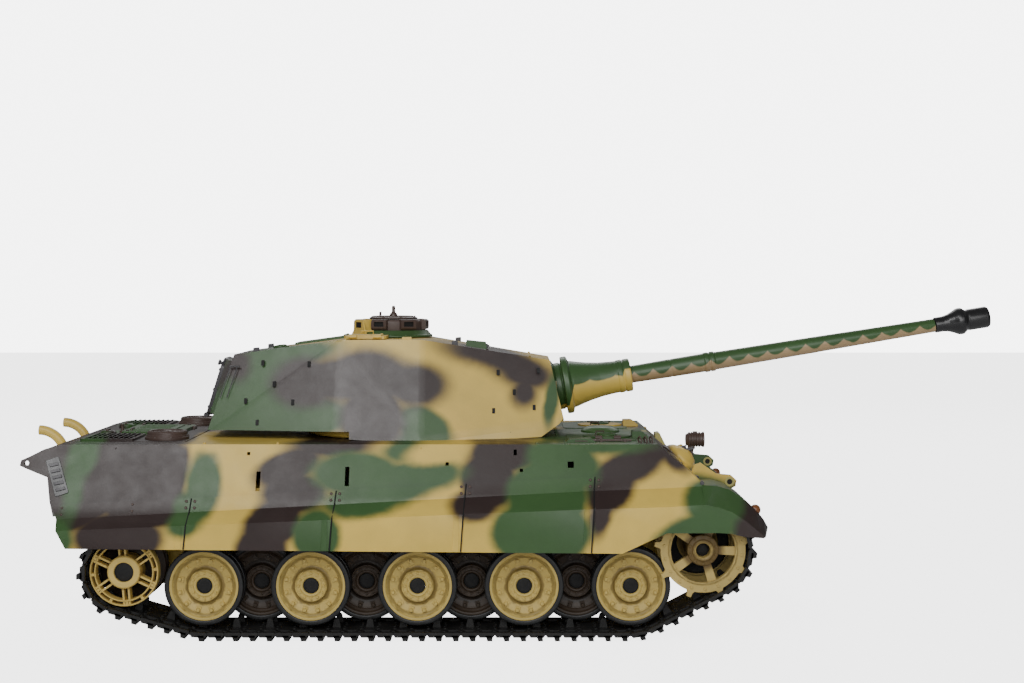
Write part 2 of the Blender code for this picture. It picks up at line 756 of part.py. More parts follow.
def turret_shell():
    outer = hull_of(turret_points(0.0))
    axis = (TURRET_X, 0.0, 0.0)
    bustle_cut = cut(
        box((TURRET_X - 140.0, -80.0, 100.0), (TURRET_X - 28.0, 80.0, BUSTLE_FLOOR_Z)),
        rod(DRUM_RADIUS, 90.0, 140.0, axis, (0, 0, 1), 32),
    )
    outer = cut(outer, bustle_cut)
    neck = rod(RING_RADIUS, 108.0, 124.0, axis, (0, 0, 1), 32)
    outer = joined(outer, neck)
    cavity = cut(
        hull_of(turret_points(TURRET_WALL)),
        box((TURRET_X - 160.0, -90.0, 100.0), (TURRET_X + 160.0, 90.0, BUSTLE_FLOOR_Z + TURRET_WALL)),
    )
    well = rod(RING_RADIUS - 3.0, 100.0, 140.0, axis, (0, 0, 1), 32)
    gun_hole = rod(15.0, 5.0, 60.0, GUN_PIVOT, GUN_AXIS, 20)
    shell = cut(outer, cavity, well, gun_hole)
    brackets = []
    pivot_x, _, pivot_z = GUN_PIVOT
    for side, _ in SIDES:
        low, high = sorted((side * 22.0, side * 26.0))
        brackets.append(box((pivot_x - 7.0, low, pivot_z - 7.0), (26.0, high, pivot_z + 7.0)))
    shell = joined(shell, *brackets, rear_pad())
    add_piece("turret_shell", cut(shell, rod(4.4, -31.0, 31.0, GUN_PIVOT, (0, 1, 0), 12)), GREEN, axis)


def on_bore(profile, steps=16):
    return turned(profile, GUN_PIVOT, GUN_AXIS, steps)


def gun():
    mantlet = on_bore(
        [
            (4.8, -12.0), (9.0, -12.0), (9.0, 18.6), (16.5, 18.9), (16.5, 24.5), (19.0, 24.7), (19.0, 28.3),
            (15.6, 29.6), (12.1, 42.0), (10.7, 55.7), (10.7, 64.8), (6.3, 64.8), (6.3, 38.0), (4.8, 38.0),
        ],
        16,
    )
    stubs = [rod(3.9, 7.0, 29.0, GUN_PIVOT, (0, side, 0), 12) for side, _ in SIDES]
    add_piece("gun_mantlet", joined(mantlet, *stubs), GREEN, GUN_PIVOT)
    barrel = on_bore(
        [
            (1.2, -8.0), (4.2, -8.0), (4.2, 46.6), (5.6, 46.6), (6.1, 114.0), (6.6, 114.4), (6.6, 119.6),
            (6.0, 120.2), (4.5, BRAKE_S - 0.3), (1.2, BRAKE_S - 0.3),
        ],
        12,
    )
    add_piece("gun_barrel", barrel, GREEN, GUN_PIVOT)
    brake = on_bore(
        [
            (3.0, BRAKE_S), (5.4, BRAKE_S), (5.6, 280.0), (8.4, 287.2), (8.4, 291.6), (5.8, 295.0),
            (7.2, 298.4), (7.2, MUZZLE_S), (3.0, MUZZLE_S),
        ],
        12,
    )
    add_piece("muzzle_brake", brake, BLACK, GUN_PIVOT)


def cupola():
    centre = (CUPOLA_X, CUPOLA_Y, 0.0)
    base_z = TURRET_ROOF_Z + GAP
    rim_z = base_z + 1.4
    ring = turned(
        [(15.0, base_z), (26.6, base_z), (26.6, rim_z), (22.6, base_z + 5.0), (22.6, 194.6), (15.0, 194.6)],
        centre,
        (0, 0, 1),
        20,
    )
    add_piece("cupola", ring, BROWN)
    lid_profile = [(0.8, 195.0), (16.6, 195.0), (16.6, 196.2), (14.0, 197.4), (0.8, 197.4)]
    knob_profile = [(0.6, 197.0), (2.6, 197.0), (2.2, 200.0), (1.4, 203.8), (0.6, 203.8)]
    lid = turned(lid_profile, centre, (0, 0, 1), 18)
    knob = turned(knob_profile, centre, (0, 0, 1), 8)
    pin = (CUPOLA_X - 13.5, CUPOLA_Y, 0.0)
    add_piece("cupola_hatch", joined(lid, knob), BROWN, pin)


def loader_hatch():
    low_z = TURRET_ROOF_Z + GAP
    x, y = TURRET_X - 20.0, -24.5
    plate = box((x - 14.0, y - 12.0, low_z), (x + 14.0, y + 12.0, low_z + 2.2))
    barrel = rod(1.6, x - 10.0, x + 10.0, (0.0, y - 12.0, low_z + 1.6), (1, 0, 0), 10)
    add_piece("loader_hatch", joined(plate, barrel), GREEN, (x, y - 12.0, low_z + 1.6))


def rear_hatch():
    """An escape door lying on the turret's rear pad, hinged at its lower edge."""
    clear = REAR_PAD + GAP
    outer = clear + REAR_DOOR_THICKNESS
    start, end = REAR_DOOR_SPAN
    door = prism([rear_point(s, t) for s, t in ((start, clear), (end, clear), (end, outer), (start, outer))], -17.0, 17.0)
    _, _, away = rear_axes()
    hinge_x, hinge_z = rear_point(start, outer)
    hinge = Vector((hinge_x, 0.0, hinge_z))
    handle_x, handle_z = rear_point(end - 5.0, outer - 0.5)
    handle = rod(1.3, 0.0, 4.5, (handle_x, 0.0, handle_z), away, 8)
    add_piece("rear_hatch", joined(door, rod(1.7, -13.0, 13.0, hinge, (0, 1, 0), 10), handle), BROWN, hinge)


# Inside


def insides():
    gearbox = prism(
        ((72.0, 35.0), (94.0, 35.0), (116.0, 56.0), (118.0, 66.0), (108.0, 72.0), (72.0, 72.0)), -54.0, 54.0
    )
    motors = [rod(12.0, 8.0, 50.0, (62.0, 0.0, 50.0), (0, side, 0), 16) for side, _ in SIDES]
    add_piece("twin_gearbox", joined(gearbox, *motors), BLACK)
    pack = box((-60.0, -24.0, 29.6), (30.0, 24.0, 53.0))
    add_piece("battery_pack", pack, BATTERY)
    board = box((-160.0, -38.0, 34.0), (-76.0, 38.0, 35.6))
    parts = [
        box((-152.0, -30.0, 35.0), (-138.0, -12.0, 39.0)),
        box((-124.0, -8.0, 35.0), (-108.0, 8.0, 38.0)),
        box((-98.0, -34.0, 35.0), (-84.0, -14.0, 44.0)),
        box((-98.0, 12.0, 35.0), (-84.0, 34.0, 46.0)),
    ]
    feet = [rod(3.0, 29.6, 34.5, (x, y, 0.0), (0, 0, 1), 8) for x in (-155.0, -81.0) for y in (-33.0, 33.0)]
    add_piece("control_board", joined(board, *parts, *feet), BOARD)


def main():
    clear_scene()
    upper_hull()
    lower_hull()
    rear_plate()
    engine_deck()
    for side, word in SIDES:
        add_piece(f"side_skirt_{word}", side_skirt(side), SAND)
    headlight()
    running_gear()
    turret_shell()
    gun()
    cupola()
    loader_hatch()
    rear_hatch()
    insides()


main()
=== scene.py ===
"""The finished look of the radio-controlled model tank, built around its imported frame.

Shapes are worked out in millimetres in the frame's own axes (+X forwards, +Y left, +Z up) and scaled
to metres when a mesh is made.
"""

import json
import math

import bmesh
import bpy
from mathutils import Matrix, Vector

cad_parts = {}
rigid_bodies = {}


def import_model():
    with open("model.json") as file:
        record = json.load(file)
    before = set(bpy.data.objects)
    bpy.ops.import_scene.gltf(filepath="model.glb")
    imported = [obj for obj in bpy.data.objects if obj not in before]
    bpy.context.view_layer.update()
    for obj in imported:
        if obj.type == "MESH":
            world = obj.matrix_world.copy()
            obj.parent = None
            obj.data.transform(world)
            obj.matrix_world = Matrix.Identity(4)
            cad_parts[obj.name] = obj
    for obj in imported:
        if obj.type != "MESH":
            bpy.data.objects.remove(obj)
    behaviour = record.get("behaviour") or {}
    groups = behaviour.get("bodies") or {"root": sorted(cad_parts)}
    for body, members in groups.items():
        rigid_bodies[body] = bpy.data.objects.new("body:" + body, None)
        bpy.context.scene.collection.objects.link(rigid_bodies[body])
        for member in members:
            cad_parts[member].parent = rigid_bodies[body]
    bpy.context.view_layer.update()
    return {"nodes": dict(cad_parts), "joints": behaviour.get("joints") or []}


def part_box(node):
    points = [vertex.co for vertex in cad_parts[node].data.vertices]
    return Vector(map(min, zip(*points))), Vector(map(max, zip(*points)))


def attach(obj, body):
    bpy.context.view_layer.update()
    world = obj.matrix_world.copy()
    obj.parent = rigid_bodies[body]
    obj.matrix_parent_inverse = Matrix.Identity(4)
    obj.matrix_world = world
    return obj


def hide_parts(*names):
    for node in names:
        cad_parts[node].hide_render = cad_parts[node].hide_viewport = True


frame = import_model()
for leftover in list(bpy.data.objects):
    if leftover.type in ("CAMERA", "LIGHT") or leftover.name == "Cube":
        bpy.data.objects.remove(leftover, do_unlink=True)

MM = 0.001
RIGHT = -1
LEFT = 1
SIDES = ((RIGHT, "right"), (LEFT, "left"))
UP = Vector((0.0, 0.0, 1.0))
ACROSS = Vector((0.0, 1.0, 0.0))
FORWARD = Vector((1.0, 0.0, 0.0))

# Places read from the frame
JOINT = {j["name"]: Vector(j["pos_m"]) / MM for j in frame["joints"] if "pos_m" in j}
AXIS = {j["name"]: Vector(j["axis"]).normalized() for j in frame["joints"]}
TURRET_X = JOINT["turret_traverse"].x
GUN_PIVOT = JOINT["gun_elevation"]
GUN_AXIS = -AXIS["barrel_recoil"]
SPROCKET = JOINT["sprocket_right_spin"]
IDLER = JOINT["idler_right_spin"]
WHEELS_PER_SIDE = 9
WHEELS = [JOINT[f"wheel_right_{n}_spin"] for n in range(1, WHEELS_PER_SIDE + 1)]


def cad_box(node):
    low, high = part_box(node)
    return low / MM, high / MM


ROOF_Z = cad_box("upper_hull")[1].z
TURRET_ROOF_Z = cad_box("turret_shell")[1].z
ROOF_HALF_WIDTH = 89.0
SIDE_LEAN = math.tan(math.radians(25.0))
SIDE_NORMAL = Vector((0.0, math.cos(math.radians(25.0)), math.sin(math.radians(25.0))))
GLACIS_TOP_X = 87.5
GLACIS_SLOPE = 0.85
GLACIS_NORMAL = Vector((GLACIS_SLOPE, 0.0, 1.0)).normalized()
SKIRT_Y = 118.0
TRACK_Y = (62.8, 110.4)
TRACK_THICKNESS = 6.2


# Shapes


def outward(shape):
    bmesh.ops.recalc_face_normals(shape, faces=shape.faces)
    return shape


def skin(rings, closed_along=False):
    """A closed surface through rings of points."""
    shape = bmesh.new()
    made = [[shape.verts.new(point) for point in ring] for ring in rings]
    count = len(made[0])
    pairs = list(zip(made, made[1:]))
    if closed_along:
        pairs.append((made[-1], made[0]))
    for first, second in pairs:
        for i in range(count):
            j = (i + 1) % count
            shape.faces.new((first[i], first[j], second[j], second[i]))
    if not closed_along:
        shape.faces.new(made[0])
        shape.faces.new(made[-1])
    return outward(shape)


def prism(outline, low, high, axis="Y"):
    """An outline extruded along an axis: (x, z) along Y, (x, y) along Z, or (y, z) along X."""
    order = {
        "X": lambda u, v, w: (w, u, v),
        "Y": lambda u, v, w: (u, w, v),
        "Z": lambda u, v, w: (u, v, w),
    }[axis]
    return skin([[order(u, v, w) for u, v in outline] for w in sorted((low, high))])


def box(low, high):
    low, high = [list(map(pick, zip(low, high))) for pick in (min, max)]
    outline = ((low[0], low[1]), (high[0], low[1]), (high[0], high[1]), (low[0], high[1]))
    return prism(outline, low[2], high[2], axis="Z")


def frame_on(centre, direction):
    turn = Vector(direction).to_track_quat("Z", "Y").to_matrix().to_4x4()
    return Matrix.Translation(Vector(centre)) @ turn


def axes(x, y, z, origin=(0.0, 0.0, 0.0)):
    matrix = Matrix((x, y, z)).transposed().to_4x4()
    matrix.translation = origin
    return matrix


def spoke(axle, degrees, centre=(0.0, 0.0, 0.0)):
    """Axes about an upright or crosswise axle, with X out along a spoke and Z along the axle."""
    turn = math.radians(degrees)
    out = math.cos(turn) * FORWARD + math.sin(turn) * (UP if axle is ACROSS else ACROSS)
    return axes(out, axle.cross(out), axle, centre)


def moved(shape, matrix):
    bmesh.ops.transform(shape, matrix=matrix, verts=shape.verts)
    return shape


def arc(centre, radius, start, end, pieces):
    """Points round part of a circle, in degrees."""
    angles = [math.radians(start + (end - start) * i / pieces) for i in range(pieces + 1)]
    return [(centre[0] + radius * math.cos(a), centre[1] + radius * math.sin(a)) for a in angles]


def around(count, radius, first=0.0):
    """Points evenly round a circle, with the first at an angle in degrees."""
    for k in range(count):
        turn = math.radians(first) + 2 * math.pi * k / count
        yield radius * math.cos(turn), radius * math.sin(turn)


def rounded(outline, radius, closed=True, pieces=3):
    """An outline with each corner eased by a short curve."""
    count = len(outline)
    points = []
    for i, corner in enumerate(outline):
        if not closed and i in (0, count - 1):
            points.append(corner)
            continue
        here = Vector(corner)
        before = Vector(outline[i - 1])
        after = Vector(outline[(i + 1) % count])
        reach = min(radius, (before - here).length * 0.45, (after - here).length * 0.45)
        start = here + (before - here).normalized() * reach
        end = here + (after - here).normalized() * reach
        for k in range(pieces + 1):
            t = k / pieces
            points.append(tuple(start * (1 - t) ** 2 + here * 2 * t * (1 - t) + end * t * t))
    return points


def turned(profile, centre, direction, steps=48, closed=True):
    """A profile of (radius, along) points turned about an axis: a closed loop, or a run capped at both ends."""
    matrix = frame_on(centre, direction)
    if not closed:
        rings = []
        for r, a in profile:
            turns = [2 * math.pi * i / steps for i in range(steps)]
            rings.append([matrix @ Vector((r * math.cos(t), r * math.sin(t), a)) for t in turns])
        return skin(rings)
    rings = []
    for i in range(steps):
        c, s = math.cos(2 * math.pi * i / steps), math.sin(2 * math.pi * i / steps)
        rings.append([matrix @ Vector((r * c, r * s, a)) for r, a in profile])
    return skin(rings, closed_along=True)


def tube(points, radius, steps=10, bore=0.0):
    """A round bar, or a pipe with a bore, along a run of points."""
    points = [Vector(p) for p in points]
    ends = len(points) - 1
    side = None
    outside, inside = [], []
    for i, point in enumerate(points):
        along = (points[min(i + 1, ends)] - points[max(i - 1, 0)]).normalized()
        if side is None:
            side = along.orthogonal().normalized()
        side = (side - along * side.dot(along)).normalized()
        up = along.cross(side)
        turns = [2 * math.pi * k / steps for k in range(steps)]
        outside.append([point + radius * (math.cos(t) * side + math.sin(t) * up) for t in turns])
        inside.append([point + bore * (math.cos(t) * side + math.sin(t) * up) for t in turns])
    if not bore:
        return skin(outside)
    return skin(outside + inside[::-1], closed_along=True)


def rod(radius, start, end, steps=16):
    return tube([start, end], radius, steps)


def knob(profile, ease, centre, direction, steps):
    """A solid turned shape, capped at both ends, with its corners eased."""
    return turned(rounded(profile, ease, closed=False), centre, direction, steps, closed=False)


def bolt(centre, direction, radius=1.0, height=0.9, sides=6):
    """A bolt head, sunk a little into what it holds."""
    profile = ((radius, -0.3), (radius, 0.7 * height), (0.8 * radius, height))
    return turned(profile, centre, direction, sides, closed=False)


def rivet(centre, direction, radius=0.8):
    shares = ((1.0, -0.2), (0.95, 0.2), (0.7, 0.42), (0.3, 0.55))
    return turned([(radius * share, radius * rise) for share, rise in shares], centre, direction, 8, closed=False)


def merged(shapes):
    whole = bmesh.new()
    for shape in shapes:
        mesh = bpy.data.meshes.new("part")
        shape.to_mesh(mesh)
        shape.free()
        whole.from_mesh(mesh)
        bpy.data.meshes.remove(mesh)
    return whole


def cad_shape(node):
    """A CAD node's mesh in millimetres, welded, with its flat faces made whole again."""
    shape = bmesh.new()
    shape.from_mesh(frame["nodes"][node].data)
    bmesh.ops.scale(shape, vec=(1 / MM, 1 / MM, 1 / MM), verts=shape.verts)
    bmesh.ops.remove_doubles(shape, verts=shape.verts, dist=0.002)
    bmesh.ops.dissolve_limit(shape, angle_limit=math.radians(0.6), verts=shape.verts, edges=shape.edges)
    return outward(shape)


def scratch(shape):
    mesh = bpy.data.meshes.new("scratch")
    shape.to_mesh(mesh)
    shape.free()
    obj = bpy.data.objects.new("scratch", mesh)
    bpy.context.scene.collection.objects.link(obj)
    return obj


def carved(base, cutters):
    """A shape with others cut from it."""
    target = scratch(base)
    tools = [scratch(cutter) for cutter in cutters]
    for tool in tools:
        modifier = target.modifiers.new("cut", "BOOLEAN")
        modifier.operation = "DIFFERENCE"
        modifier.solver = "EXACT"
        modifier.object = tool
    bpy.context.view_layer.update()
    graph = bpy.context.evaluated_depsgraph_get()
    mesh = bpy.data.meshes.new_from_object(target.evaluated_get(graph))
    shape = bmesh.new()
    shape.from_mesh(mesh)
    bpy.data.meshes.remove(mesh)
    for obj in (target, *tools):
        used = obj.data
        bpy.data.objects.remove(obj, do_unlink=True)
        bpy.data.meshes.remove(used)
    return shape


def eased(shape, shortest, width):
    """Long shallow creases rounded into a gentle bulge."""
    creases = [edge for edge in shape.edges if len(edge.link_faces) == 2 and edge.calc_length() > shortest
               and math.radians(1.0) < edge.calc_face_angle() < math.radians(16.0)]
    bmesh.ops.bevel(shape, geom=creases, offset=width, offset_type="OFFSET", segments=8, profile=0.5, affect="EDGES",
                    clamp_overlap=True)
    return outward(shape)


def mesh_of(shape, name, paint):
    bmesh.ops.scale(shape, vec=(MM, MM, MM), verts=shape.verts)
    mesh = bpy.data.meshes.new(name)
    shape.to_mesh(mesh)
    shape.free()
    mesh.shade_smooth()
    mesh.set_sharp_from_angle(angle=math.radians(38.0))
    mesh.materials.append(paint)
    return mesh


def place(name, mesh, body, replaces=(), centre=(0.0, 0.0, 0.0), bevel=0.0):
    obj = bpy.data.objects.new(name, mesh)
    obj.location = Vector(centre) * MM
    bpy.context.scene.collection.objects.link(obj)
    if bevel:
        modifier = obj.modifiers.new("edges", "BEVEL")
        modifier.width = bevel * MM
        modifier.segments = 2
        modifier.limit_method = "ANGLE"
        modifier.angle_limit = math.radians(28.0)
        modifier.harden_normals = True
    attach(obj, body)
    if replaces:
        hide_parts(*replaces)
    return obj


def add(name, shape, paint, body, replaces=(), bevel=0.0):
    return place(name, mesh_of(shape, name, paint), body, replaces, bevel=bevel)


# Paint


class Paint:
    """One procedural material. Each method returns an output socket, and a number stays a number."""

    def __init__(self, name, roughness=0.45, specular=0.5, coat=0.0, metallic=0.0):
        self.material = bpy.data.materials.new(name)
        self.material.use_nodes = True
        self.tree = self.material.node_tree
        self.shader = self.tree.nodes["Principled BSDF"]
        self.shader.inputs["Metallic"].default_value = metallic
        self.shader.inputs["Specular IOR Level"].default_value = specular
        self.shader.inputs["Coat Weight"].default_value = coat
        self.shader.inputs["Coat Roughness"].default_value = 0.25
        self.shader.inputs["Roughness"].default_value = roughness
        coordinates = self.node("ShaderNodeTexCoord").outputs["Object"]
        self.place = self.vector("SCALE", coordinates, scale=1 / MM)

    def node(self, kind, **settings):
        made = self.tree.nodes.new(kind)
        for key, value in settings.items():
            setattr(made, key, value)
        return made

    def feed(self, socket, value):
        if isinstance(value, bpy.types.NodeSocket):
            self.tree.links.new(value, socket)
        else:
            socket.default_value = value

    def math(self, operation, a, b=0.0, c=0.0):
        made = self.node("ShaderNodeMath", operation=operation)
        for socket, value in zip(made.inputs, (a, b, c)):
            self.feed(socket, value)
        return made.outputs[0]

    def vector(self, operation, a, b=(0.0, 0.0, 0.0), scale=1.0):
        made = self.node("ShaderNodeVectorMath", operation=operation)
        self.feed(made.inputs[0], a)
        if operation == "SCALE":
            self.feed(made.inputs["Scale"], scale)
        else:
            self.feed(made.inputs[1], b)
        return made.outputs["Value" if operation == "LENGTH" else "Vector"]

    def noise(self, scale, detail=3.0, roughness=0.55, colour=False):
        """Noise whose lumps are 1/scale millimetres across."""
        made = self.node("ShaderNodeTexNoise")
        self.feed(made.inputs["Vector"], self.place)
        made.inputs["Scale"].default_value = scale
        made.inputs["Detail"].default_value = detail
        made.inputs["Roughness"].default_value = roughness
        return made.outputs["Color" if colour else "Fac"]

    def spread(self, value, low, high, to_low=0.0, to_high=1.0, smooth=True):
        made = self.node("ShaderNodeMapRange", interpolation_type="SMOOTHSTEP" if smooth else "LINEAR")
        for key, number in (("Value", value), ("From Min", low), ("From Max", high), ("To Min", to_low),
                            ("To Max", to_high)):
            self.feed(made.inputs[key], number)
        return made.outputs["Result"]

    def mix(self, share, a, b):
        made = self.node("ShaderNodeMix", data_type="RGBA")
        self.feed(made.inputs[0], share)
        self.feed(made.inputs[6], a if isinstance(a, bpy.types.NodeSocket) else (*a, 1.0))
        self.feed(made.inputs[7], b if isinstance(b, bpy.types.NodeSocket) else (*b, 1.0))
        return made.outputs[2]

    def split(self):
        made = self.node("ShaderNodeSeparateXYZ")
        self.feed(made.inputs[0], self.place)
        return made.outputs

    def blob(self, at, stroke):
        """Distance in millimetres outside an ellipse (x, z, half length, half height, tilt in degrees)."""
        x, z, length, height, tilt = stroke
        made = self.node("ShaderNodeMapping", vector_type="TEXTURE")
        self.feed(made.inputs["Vector"], at)
        made.inputs["Location"].default_value = (x, 0.0, z)
        made.inputs["Rotation"].default_value = (0.0, -math.radians(tilt), 0.0)
        made.inputs["Scale"].default_value = (length, 1.0e5, height)
        radius = min(length, height)
        return self.math("MULTIPLY_ADD", self.vector("LENGTH", made.outputs[0]), radius, -radius)

    def finish(self, colour, roughness=None, bumps=()):
        """Sets the colour, the roughness and a chain of (height, distance in mm, strength) bumps."""
        self.feed(self.shader.inputs["Base Color"],
                  colour if isinstance(colour, bpy.types.NodeSocket) else (*colour, 1.0))
        if roughness is not None:
            self.feed(self.shader.inputs["Roughness"], roughness)
        normal = None
        for height, distance, strength in bumps:
            made = self.node("ShaderNodeBump")
            made.inputs["Distance"].default_value = distance * MM
            made.inputs["Strength"].default_value = strength
            self.feed(made.inputs["Height"], height)
            if normal:
                self.feed(made.inputs["Normal"], normal)
            normal = made.outputs["Normal"]
        if normal:
            self.feed(self.shader.inputs["Normal"], normal)
        return self.material


SAND = (0.74, 0.52, 0.105)
GREEN = (0.045, 0.105, 0.031)
BROWN = (0.034, 0.021, 0.019)
COATS = {"sand": SAND, "green": GREEN, "brown": BROWN}

# Each pass of the airbrush: its colour, the half width of its soft edge and its (x, z, length, height, tilt) strokes.
HULL_STROKES = (
    ("brown", 3.0, (
        (-284, 104, 46, 38, 0), (-233, 108, 30, 40, 0), (-243, 64, 28, 16, 0),
        (-116, 119, 28, 8, 0), (-142, 105, 23, 11, 20), (-137, 90, 22, 12, 0), (-149, 73, 19, 14, 20),
        (-156, 58, 16, 14, 0), (-8, 114, 23, 12, 0), (-18, 98, 18, 16, -20), (-27, 84, 15, 9, 5),
        (78, 112, 25, 9, 24), (66, 104, 26, 10, 20), (56, 93, 16, 12, 20), (50, 80, 7, 16, -10),
        (150, 74, 22, 24, 0), (-222, 84, 20, 14, 0), (97, 111, 12, 6, -40),
    )),
    ("green", 3.0, (
        (-270, 112, 9, 16, -15), (-274, 92, 6, 18, 0), (-281, 64, 11, 12, 0),
        (-194, 95, 11, 21, 0), (-203, 73, 11, 8, 20), (-200, 82, 11, 10, 0),
        (-100, 102, 28, 13, 0), (-95, 86, 26, 10, 5), (-78, 92, 26, 10, 8), (-62, 100, 30, 10, 5),
        (-70, 114, 14, 7, 0),
        (-122, 66, 15, 16, -15),
        (14, 68, 31, 22, 0), (18, 90, 25, 20, 0), (28, 108, 23, 16, -20), (52, 121, 34, 9, 0),
        (120, 86, 19, 14, 0), (102, 70, 23, 8, 25), (118, 72, 14, 12, 0),
    )),
    ("sand", 3.0, ((-50, 114, 19, 7, 10), (-187, 121, 18, 6, 0))),
)
TURRET_STROKES = (
    ("green", 3.0, (
        (-180, 148, 36, 44, 0), (-146, 174, 34, 9, 8), (-148, 134, 46, 15, 0), (-60, 126, 20, 13, -30),
        (-63, 120, 20, 6, 0),
    )),
    ("brown", 5.0, (
        (-137, 156, 24, 17, 0), (-117, 157, 20, 15, 0), (-98, 158, 30, 18, 0), (-82, 156, 20, 13, 0),
        (-66, 153, 22, 14, 0), (-93, 132, 21, 24, 0), (-17, 172, 36, 10, -14), (3, 164, 22, 12, -12),
        (3, 150, 9, 11, 0), (-184, 166, 9, 9, 0),
    )),
    ("green", 2.0, ((22, 144, 5, 20, -8),)),
)


def camouflage(name, strokes, near_y=-80.0, roughness=0.36, specular=0.38):
    """Three soft-edged colours. The strokes are true on the right side and wander more and more towards the left."""
    paint = Paint(name, specular=specular, coat=0.2 * specular)
    y = paint.split()[1]
    wander = paint.spread(y, near_y, -near_y, 3.0, 120.0, smooth=False)
    swirl = paint.vector("SUBTRACT", paint.noise(0.016, 1.0, 0.4, colour=True), (0.5, 0.5, 0.5))
    far = paint.vector("SCALE", swirl, scale=wander)
    ragged = paint.vector("SUBTRACT", paint.noise(0.11, 2.0, colour=True), (0.5, 0.5, 0.5))
    at = paint.vector("ADD", paint.place, far)
    at = paint.vector("ADD", at, paint.vector("SCALE", ragged, scale=2.5))
    colour = SAND
    for coat, soft, ellipses in strokes:
        distance = None
        for ellipse in ellipses:
            here = paint.blob(at, ellipse)
            distance = here if distance is None else paint.math("SMOOTH_MIN", distance, here, 4.0)
        share = paint.spread(distance, -soft, soft, 1.0, 0.0)
        colour = paint.mix(share, colour, COATS[coat])
    return weathered(paint, colour, roughness)


def weathered(paint, colour, roughness, depth=0.10):
    """Slow drifts of tone, fine speckle and the slight ripple of moulded, airbrushed plastic."""
    tone = paint.spread(paint.noise(0.03, 3.0), 0.3, 0.7, 1.0 - depth, 1.0 + depth, smooth=False)
    grain = paint.spread(paint.noise(1.6, 2.0), 0.3, 0.7, 0.97, 1.03, smooth=False)
    shade = paint.math("MULTIPLY", tone, grain)
    mixed = paint.node("ShaderNodeVectorMath", operation="SCALE")
    paint.feed(mixed.inputs[0], colour if isinstance(colour, bpy.types.NodeSocket) else tuple(colour))
    paint.feed(mixed.inputs["Scale"], shade)
    rough = paint.spread(paint.noise(0.09, 4.0), 0.25, 0.75, roughness - 0.07, roughness + 0.09, smooth=False)
    bumps = ((paint.noise(0.35, 2.0), 0.25, 0.12), (paint.noise(4.5, 2.0), 0.05, 0.18))
    return paint.finish(mixed.outputs["Vector"], rough, bumps)


def plastic(name, colour, roughness=0.42, coat=0.08, depth=0.12):
    return weathered(Paint(name, coat=coat), colour, roughness, depth)


def wheel_paint(name, base, recess_shade, shade_bands):
    """Paint on a turned part, darkened towards a recess colour in (inner radius, outer radius, share) bands about its
    axle: painted shade in the recesses by the hub and rim.
    """
    paint = Paint(name, specular=0.3)
    parts = paint.split()
    flat = paint.node("ShaderNodeCombineXYZ")
    paint.feed(flat.inputs[0], parts[0])
    paint.feed(flat.inputs[2], parts[2])
    radius = paint.vector("LENGTH", flat.outputs[0])
    wobble = paint.math("MULTIPLY_ADD", paint.noise(0.18, 3.0), 4.0, -2.0)
    radius = paint.math("ADD", radius, wobble)
    colour = base
    # Each band paints recess shade into a ring about the axle.
    for low, high, share in shade_bands:
        middle, half = (low + high) / 2, (high - low) / 2
        away = paint.math("ABSOLUTE", paint.math("SUBTRACT", radius, middle))
        colour = paint.mix(paint.spread(away, 0.4 * half, 1.3 * half, share, 0.0), colour, recess_shade)
    return weathered(paint, colour, 0.42)


def rubber(name, colour, roughness):
    paint = Paint(name, specular=0.45)
    scuffed = paint.spread(paint.noise(0.25, 4.0), 0.5, 0.75)
    tinted = paint.mix(paint.math("MULTIPLY", scuffed, 0.5), colour, tuple(2.6 * c for c in colour))
    rough = paint.spread(paint.noise(0.12, 3.0), 0.2, 0.8, roughness - 0.12, roughness + 0.12)
    return paint.finish(tinted, rough, ((paint.noise(1.2, 3.0), 0.12, 0.25),))


def steel(name, colour):
    paint = Paint(name, roughness=0.35, metallic=0.9)
    tinted = paint.mix(paint.noise(0.2, 4.0), colour, tuple(0.6 * c for c in colour))
    return paint.finish(tinted, paint.spread(paint.noise(0.5, 3.0), 0.2, 0.8, 0.25, 0.5),
                        ((paint.noise(2.0, 2.0), 0.05, 0.2),))


def gun_paint(name, mantlet):
    """Green over sand, parted by a wavy line along the side of the gun."""
    paint = Paint(name, coat=0.1)
    parts = paint.split()
    slope = GUN_AXIS.z / GUN_AXIS.x
    along = paint.math("SUBTRACT", parts[0], GUN_PIVOT.x)
    bore_z = paint.math("MULTIPLY_ADD", along, slope, GUN_PIVOT.z)
    height = paint.math("SUBTRACT", parts[2], bore_z)
    pitch, wave, middle = (17.0, 2.2, 1.0) if mantlet else (12.8, 3.8, -0.3)
    turns = paint.math("MULTIPLY", along, 2 * math.pi / pitch)
    scallop = paint.math("ABSOLUTE", paint.math("SINE", paint.math("MULTIPLY", turns, 0.5)))
    ragged = paint.math("MULTIPLY_ADD", paint.noise(0.12, 2.0), 2.4, -1.2)
    line = paint.math("ADD", paint.math("MULTIPLY_ADD", scallop, -wave, middle + 0.5 * wave), ragged)
    if mantlet:
        line = paint.math("ADD", line, paint.spread(along, 20.0, 24.0, -14.0, 0.0))
        line = paint.math("ADD", line, paint.spread(along, 56.0, 57.5, 0.0, 5.0))
    share = paint.spread(paint.math("SUBTRACT", height, line), -0.7, 0.7)
    below = SAND if mantlet else (0.42, 0.29, 0.15)
    return weathered(paint, paint.mix(share, below, GREEN), 0.36)


def glass(name, colour=(0.75, 0.72, 0.62)):
    paint = Paint(name, roughness=0.12, specular=0.6, coat=0.5)
    swirl = paint.mix(paint.noise(0.4, 2.0), colour, tuple(0.75 * c for c in colour))
    return paint.finish(swirl, None, ((paint.noise(0.9, 1.0), 0.1, 0.1),))


